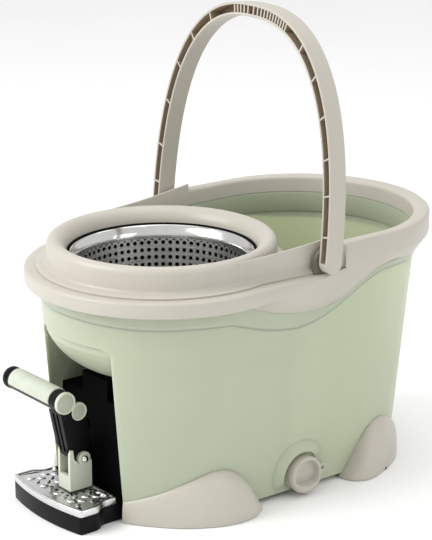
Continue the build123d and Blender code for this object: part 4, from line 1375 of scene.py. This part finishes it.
@dataclass
class FootPlate:
    """The black base, the pressed steel tread on it and its screws."""

    half: float = 62.0
    front: float = -150.5
    bow: float = 8.0
    waist: float = 54.0
    notch: float = -121.0
    back: float = 42.0
    tread_back: float = -100.0
    base_top: float = 19.5
    tread_top: float = 27.0
    lozenge: tuple[float, float, float] = (5.5, 3.0, 1.4)
    lozenge_lean: float = 38.0
    lozenge_layers: tuple[Pair, ...] = ((1.0, -0.05), (0.82, 0.45), (0.5, 0.85), (0.12, 1.0))
    pitch: float = 12.5
    panel_drop: float = 1.6
    front_steps: int = 24
    edge_room: float = 9.0
    hole_pitch: float = 9.0

    def bowed(self, x: float) -> float:
        """Gives the place of the bowed front edge."""
        return self.front - self.bow * (1.0 - (x / self.half) ** 2)

    def outline(self, back: float) -> list[Pair]:
        """Gives the plate's outline, anticlockwise.

        Args:
            back: Where it ends behind.

        Returns:
            The outline.
        """
        front = []
        for index in range(1, self.front_steps):
            x = blend_value(-self.half, self.half, index / self.front_steps)
            front.append((x, self.bowed(x), 0.0))
        right = [(self.half, self.front, 9.0), (self.half, self.notch - 7.0, 6.0),
                 (self.waist, self.notch + 2.0, 6.0), (self.waist, back, 3.0)]
        left = [(-x, y, r) for x, y, r in reversed(right)]
        return rounded(front + right + left)

    def stack(self, sheet: Sheet, outline: Sequence[Pair], layers: Sequence[Pair]) -> None:
        """Adds a solid from insets of one outline.

        Args:
            sheet: The mesh.
            outline: The outline.
            layers: Inset and height of each layer, from below.
        """
        rings = [[(x, y, z) for x, y in inset(outline, amount)] for amount, z in layers]
        sheet.rings(rings, caps=True)

    def base(self) -> bpy.types.Object:
        """Makes the black base and the block that carries the tread.

        Returns:
            The base.
        """
        sheet = Sheet()
        self.stack(sheet, self.outline(self.back),
                   [(1.0, 0.0), (0.3, 0.4), (0.0, 1.4), (-0.1, 16.0), (0.0, 19.0), (1.2, 19.5)])
        self.stack(sheet, inset(self.outline(self.tread_back), 3.0),
                   [(0.0, 19.0), (0.0, 25.0)])
        return sheet.piece("base_moulding", BLACK, Body.TUB, ["base_plate"],
                           sharp=45.0)

    def bracket_room(self, x: float, y: float) -> bool:
        """Tells whether a place on the tread is free of the pedal bracket and the edges."""
        low, high = span("pedal_bracket")
        beside = x < low.x - 7.0 or x > high.x + 7.0
        before = y < low.y - 5.0
        half = self.waist if y > self.notch - 12.0 else self.half
        edge = abs(x) < half - self.edge_room
        ends = self.bowed(x) + 8.0 < y < self.tread_back - 5.0
        return edge and ends and (beside or before)

    def tread(self) -> bpy.types.Object:
        """Makes the steel tread: rolled edge, sunk panel and raised lozenges.

        Returns:
            The tread.
        """
        sheet = Sheet()
        top = self.tread_top
        self.stack(sheet, self.outline(self.tread_back), [
            (0.0, self.base_top + 0.1), (-0.3, self.base_top + 0.6), (-0.3, top - 2.2),
            (0.2, top - 0.8), (1.2, top - 0.1), (2.4, top), (3.4, top - 0.5), (4.2, top - 1.4),
            (5.4, top - self.panel_drop)])
        long, short, rise = self.lozenge
        level = top - self.panel_drop
        for row in range(6):
            for column in range(-6, 7):
                x = column * self.pitch + (row % 2) * self.pitch / 2.0
                y = self.front + row * self.pitch * 0.72
                if not self.bracket_room(x, y):
                    continue
                lean = radians(self.lozenge_lean if (row + column) % 2 else -self.lozenge_lean)
                rings = []
                for share, height in self.lozenge_layers:
                    ring = []
                    for c, s in circle(1.0, 16):
                        u, v = long * share * c, short * share * s
                        ring.append((x + u * cos(lean) - v * sin(lean),
                                     y + u * sin(lean) + v * cos(lean), level + rise * height))
                    rings.append(ring)
                sheet.rings(rings, caps=True)
        return sheet.piece("tread_pressing", TREAD_STEEL, Body.TUB, ["tread_plate"],
                           sharp=50.0)

    def drain_holes(self) -> bpy.types.Object:
        """Makes the drain holes beside the bracket as dark discs: painted shade in the holes, in
        the black of the base below.

        Returns:
            The dark discs, painted shade that stands for the holes.
        """
        sheet = Sheet()
        low, high = span("pedal_bracket")
        level = self.tread_top - 1.58
        places = [(x, low.y + 4.0 + self.hole_pitch * i) for x in (low.x - 4.5, high.x + 4.5)
                  for i in range(3)]
        places += [(low.x - 4.5 + 9.5 * i, low.y - 6.0) for i in range(4)]
        # Black discs on the tread stand for the holes: painted shade.
        for x, y in places:
            sheet.rings([[(x + u, y + v, level + height) for u, v in circle(radius, 18)]
                         for radius, height in ((2.3, 0.0), (2.1, 0.12), (1.4, 0.06))],
                        caps=True)
        return sheet.piece("tread_drain_holes_painted_shade", BLACK, Body.TUB)

    def make(self) -> None:
        """Makes the plate and dresses its screws."""
        self.base()
        self.tread()
        self.drain_holes()
        dress_node("tread_screws", CHROME)


@dataclass
class Pedal:
    """The foot pedal: bracket, arm, twin barrel bar, soft pad and end caps."""

    grip: tuple[float, float, float] = (-134.0, 125.0, 11.6)
    heel: tuple[float, float, float] = (-118.0, 112.6, 9.4)
    left: float = -88.0
    right: float = 15.0
    pad_from: float = -76.0
    pad_to: float = -1.0
    pad_arc: Pair = (18.0, 196.0)
    pad_steps: int = 132
    pad_arcs: int = 28
    ribs: int = 11

    def bar(self) -> bpy.types.Object:
        """Makes the black twin barrel.

        Returns:
            The bar.
        """
        sheet = Sheet()
        for y, z, radius in (self.grip, self.heel):
            sheet.rings(barrel(radius - 0.3, self.left + 3.0, self.right - 2.6, y, z), caps=True)
        return sheet.piece("pedal_bar", BLACK, Body.PEDAL, ["foot_bar"])

    def pad(self) -> bpy.types.Object:
        """Makes the soft pad with its shallow ribs.

        Returns:
            The pad.
        """
        sheet = Sheet()
        y, z, radius = self.grip
        first, last = (radians(a) for a in self.pad_arc)
        rings = []
        count, arcs = self.pad_steps, self.pad_arcs
        for step in range(count + 1):
            part = step / count
            x = blend_value(self.pad_from, self.pad_to, part)
            ends = min(1.0, min(part, 1.0 - part) * count / 3.0)
            lift = 0.25 + 0.85 * sqrt(max(0.0, 1.0 - (1.0 - ends) ** 2))
            lift += 0.16 * cos(2.0 * pi * self.ribs * part) * ends
            ring = []
            for index in range(arcs + 1):
                share = index / arcs
                side = min(1.0, min(share, 1.0 - share) * arcs / 3.0)
                out = radius - 0.3 + lift * sqrt(max(0.0, 1.0 - (1.0 - side) ** 2))
                angle = blend_value(first, last, share)
                ring.append((x, y + out * cos(angle), z + out * sin(angle)))
            for index in range(6):
                angle = blend_value(last, first, index / 5.0)
                inner = radius - 1.5
                ring.append((x, y + inner * cos(angle), z + inner * sin(angle)))
            rings.append(ring)
        sheet.rings(rings, caps=True)
        return sheet.piece("pedal_soft_pad", GRIP_RUBBER, Body.PEDAL, ["grip_pad"],
                           sharp=55.0)

    def disc(self, sheet: Sheet, axis: tuple[float, float, float], layers: Sequence[Pair],
             way: float, face: float) -> None:
        """Adds a turned disc on the X axis.

        Args:
            sheet: The mesh.
            axis: Place, height and radius of the barrel that it closes.
            layers: Radius change and distance outwards of each ring.
            way: 1 when it faces right, -1 when left.
            face: X of the barrel's end.
        """
        y, z, radius = axis
        sheet.rings([[(face + way * out, y + u, z + v) for u, v in circle(radius + change, 56)]
                     for change, out in layers], caps=True)

    def caps(self) -> None:
        """Makes the green cap on the right end and the black cap on the left."""
        border = [(-0.4, -1.0), (0.15, -0.6), (0.3, 0.4), (0.3, 2.0), (0.0, 2.8), (-0.7, 3.1),
                  (-1.5, 2.9), (-1.9, 2.3), (-2.0, 1.9), (-6.0, 1.85)]
        sheet = Sheet()
        for axis in (self.grip, self.heel):
            self.disc(sheet, axis, border, 1.0, self.right - 3.0)
        sheet.piece("pedal_cap_right", SAGE_LIGHT, Body.PEDAL, ["bar_cap_right"])
        face = Sheet()
        for axis in (self.grip, self.heel):
            self.disc(face, axis, [(-1.9, 1.0), (-1.9, 2.0), (-2.2, 2.15), (-5.0, 2.2)], 1.0,
                      self.right - 3.0)
        face.piece("pedal_cap_face", SAGE_TRIM, Body.PEDAL)
        far = Sheet()
        for axis in (self.grip, self.heel):
            self.disc(far, axis, [(0.1, -4.0), (0.3, -3.0), (0.3, 1.2), (-0.3, 2.4),
                                  (-1.6, 2.9), (-3.0, 3.0)], -1.0, self.left + 3.0)
        far.piece("pedal_cap_left", BLACK, Body.PEDAL, ["bar_cap_left"])

    def make(self) -> None:
        """Makes the pedal's pieces and dresses its CAD nodes."""
        self.bar()
        self.pad()
        self.caps()
        dress_node("lever_arm", BLACK, 0.8)
        dress_node("pedal_bracket", SAGE_LIGHT, 0.9)
        dress_node("pedal_pin", CHROME)
        dress_node("sector_gear", BLACK)
        dress_node("return_spring", STEEL)


@dataclass
class DrainPlug:
    """The plug in the side of the wash well, with a finger recess and a tether ear."""

    radius: float = 20.6
    thickness: float = 9.0
    spigot: float = 7.5
    ear: float = 25.0
    recess: float = 7.0
    lip: float = 2.4
    hood_arc: Pair = (28.0, 205.0)
    hood_steps: int = 48
    hood_section: tuple[Pair, ...] = ((23.6, -1.0), (23.6, 4.6), (24.2, 5.6), (25.4, 5.8),
                                      (29.0, 4.2), (33.0, 1.8), (37.0, -0.4), (37.0, -1.0))

    def height(self, across: float, up: float) -> float:
        """Gives how far the plug's face stands out.

        Args:
            across: Place across the face, as a share of the radius.
            up: Place up the face, as a share of the radius.

        Returns:
            The height above the plug's back.
        """
        reach = hypot(across, up)
        rim = 1.0 - max(0.0, (reach - 0.9) / 0.1) ** 2 * 0.35
        recess = ease((0.80 - hypot(across, up - 0.04)) / 0.12)
        lip_line = -0.30 - 0.22 * (1.0 - min(1.0, across * across * 1.6))
        lip = ease((lip_line + 0.10 - up) / 0.12)
        deep = recess * (1.0 - lip)
        proud = self.lip * lip * ease((1.0 - reach) / 0.3)
        return self.thickness * rim - self.recess * deep + proud

    def make(self) -> None:
        """Makes the plug, the hood over it and dresses its seat."""
        low, high = span("drain_plug")
        seat_low, seat_high = span("drain_seat")
        y, z = (seat_low.y + seat_high.y) / 2.0, (seat_low.z + seat_high.z) / 2.0
        back = high.x - self.thickness
        sheet = Sheet()
        spokes, count = 72, 30
        rings = [[(back, y + u, z + v) for u, v in circle(self.radius * 0.96, spokes)]]
        for step in range(count, 0, -1):
            share = step / count
            ring = []
            for c, s in circle(1.0, spokes):
                out = self.height(share * c, share * s)
                ring.append((back + out, y + self.radius * share * c,
                             z + self.radius * share * s))
            rings.append(ring)
        sheet.rings(rings, caps=True)
        self.tether_ear(sheet, back, y, z)
        sheet.rings(barrel(self.spigot, low.x, back + 0.5, y, z, 40), caps=True)
        sheet.piece("drain_plug_moulding", CREAM, Body.PLUG, ["drain_plug"],
                    sharp=45.0)
        dress_node("plug_seal", BLACK_RUBBER)
        dress_node("drain_seat", CREAM)
        self.hood(y, z)

    def tether_ear(self, sheet: Sheet, back: float, y: float, z: float) -> None:
        """Adds the little ring beside the plug.

        Args:
            sheet: The plug's mesh.
            back: X of the plug's back.
            y: Place of the plug's axis.
            z: Height of the plug's axis.
        """
        profile = [(1.9, 0.2), (1.9, 3.4), (2.5, 4.0), (4.9, 4.0), (5.6, 3.3), (5.6, 0.2)]
        sheet.rings([[(back + out, y + self.ear + radius * c, z + 1.0 + radius * s)
                      for radius, out in profile] for c, s in circle(1.0, 36)], onward=True)

    def hood(self, y: float, z: float) -> None:
        """Makes the arched edge of the pocket that the plug sits in.

        Args:
            y: Place of the plug's axis.
            z: Height of the plug's axis.
        """
        sheet = Sheet()
        rings = []
        first, last = (radians(degrees) for degrees in self.hood_arc)
        for step in range(self.hood_steps + 1):
            part = step / self.hood_steps
            angle = blend_value(first, last, part)
            rise = sqrt(max(0.0, 1.0 - (2.0 * part - 1.0) ** 4))
            ring = []
            for radius, out in self.hood_section:
                height = z + radius * sin(angle)
                wall = TUB.oval(height).front
                ring.append((wall + (out * rise if out > 0 else out), y + radius * cos(angle),
                             height))
            rings.append(ring)
        sheet.rings(rings, caps=True)
        sheet.piece("drain_pocket_edge", SAGE, Body.TUB, sharp=50.0)


@dataclass
class Drive:
    """The housing behind the pedal and the gear train in it."""

    plastics: tuple[str, ...] = ("housing_right", "housing_left")
    nylons: tuple[str, ...] = ("cross_mitre", "pinion", "crown_bevel", "long_mitre",
                               "spindle_bevel", "clutch_drum", "well_bush")
    steels: tuple[str, ...] = ("cross_shaft", "long_shaft", "spindle", "housing_screws")

    def make(self) -> None:
        """Dresses the drive's nodes."""
        for group, finish in ((self.plastics, BLACK_DEEP), (self.nylons, NYLON),
                              (self.steels, STEEL)):
            for node in group:
                dress_node(node, finish, 1.2 if node in self.plastics else 0.0)


@dataclass
class Studio:
    """The pale floor, the soft lights and the camera."""

    target: Point = (-0.0220, 0.0028, 0.2156)
    azimuth: float = 51.82
    elevation: float = 17.41
    distance: float = 2.2008
    lens: float = 135.5
    floor_reach: float = 9.0
    world_strength: float = 0.86
    lights: tuple[tuple[str, float, float, float, float, float], ...] = (
        ("key_light", -18.0, 36.0, 2.2, 1.3, 33.0),
        ("fill_light", 105.0, 25.0, 1.5, 0.8, 2.5),
        ("top_light", 200.0, 75.0, 2.0, 1.8, 10.0),
    )

    def outward(self, azimuth: float, elevation: float) -> Vector:
        """Gives the direction from the object to a place around it.

        Args:
            azimuth: Degrees round the object from the front.
            elevation: Degrees above the floor.

        Returns:
            The direction.
        """
        a, e = radians(azimuth), radians(elevation)
        return Vector((sin(a) * cos(e), -cos(a) * cos(e), sin(e)))

    def camera(self) -> None:
        """Sets the camera at its viewing angle."""
        data = bpy.data.cameras.new("studio_camera")
        data.lens = self.lens
        made = bpy.data.objects.new("studio_camera", data)
        bpy.context.scene.collection.objects.link(made)
        way = self.outward(self.azimuth, self.elevation)
        made.location = Vector(self.target) + way * self.distance
        made.rotation_euler = (-way).to_track_quat("-Z", "Y").to_euler()
        bpy.context.scene.camera = made

    def light(self, name: str, azimuth: float, elevation: float, reach: float, size: float,
              power: float) -> None:
        """Adds one soft light.

        Args:
            name: Its name.
            azimuth: Degrees round the object from the front.
            elevation: Degrees above the floor.
            reach: Distance from the object, in metres.
            size: Width of the light, in metres.
            power: Power in watts.
        """
        data = bpy.data.lights.new(name, "AREA")
        data.shape = "SQUARE"
        data.size = size
        data.energy = power
        made = bpy.data.objects.new(name, data)
        bpy.context.scene.collection.objects.link(made)
        way = self.outward(azimuth, elevation)
        made.location = Vector(self.target) + way * reach
        made.rotation_euler = (-way).to_track_quat("-Z", "Y").to_euler()

    def floor(self) -> None:
        """Makes the pale floor."""
        data = bpy.data.meshes.new("studio_floor")
        reach = self.floor_reach
        corners = [(-reach, -reach, 0.0), (reach, -reach, 0.0), (reach, reach, 0.0),
                   (-reach, reach, 0.0)]
        data.from_pydata(corners, [], [(0, 1, 2, 3)])
        made = bpy.data.objects.new("studio_floor", data)
        bpy.context.scene.collection.objects.link(made)
        nodes = Nodes("pale_floor")
        tone = nodes.spread(nodes.noise(3.0), 0.0, 1.0)
        nodes.link(nodes.mix(tone, (0.94, 0.94, 0.94), (0.96, 0.96, 0.96)),
                   nodes.shader.inputs["Base Color"])
        nodes.set(Roughness=0.85)
        data.materials.append(nodes.material)

    def make(self) -> None:
        """Sets up the studio."""
        self.floor()
        self.camera()
        for light in self.lights:
            self.light(*light)
        world = bpy.data.worlds.new("studio_world")
        bpy.context.scene.world = world
        world.use_nodes = True
        background = world.node_tree.nodes["Background"]
        background.inputs["Color"].default_value = (1.0, 1.0, 1.0, 1.0)
        background.inputs["Strength"].default_value = self.world_strength
        bpy.context.scene.view_settings.view_transform = "Standard"


def main() -> None:
    """Builds every sub-assembly in order."""
    logging.basicConfig(level=logging.INFO, format="%(message)s")
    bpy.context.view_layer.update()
    Studio().make()
    for assembly in (Tub(), Cover(), Handle(), Basket(), Feet(), FootPlate(), Pedal(),
                     DrainPlug(), Drive()):
        assembly.make()
    Rim().make()
    dress_node("handle_pins", CREAM)


if __name__ == "__main__":
    main()
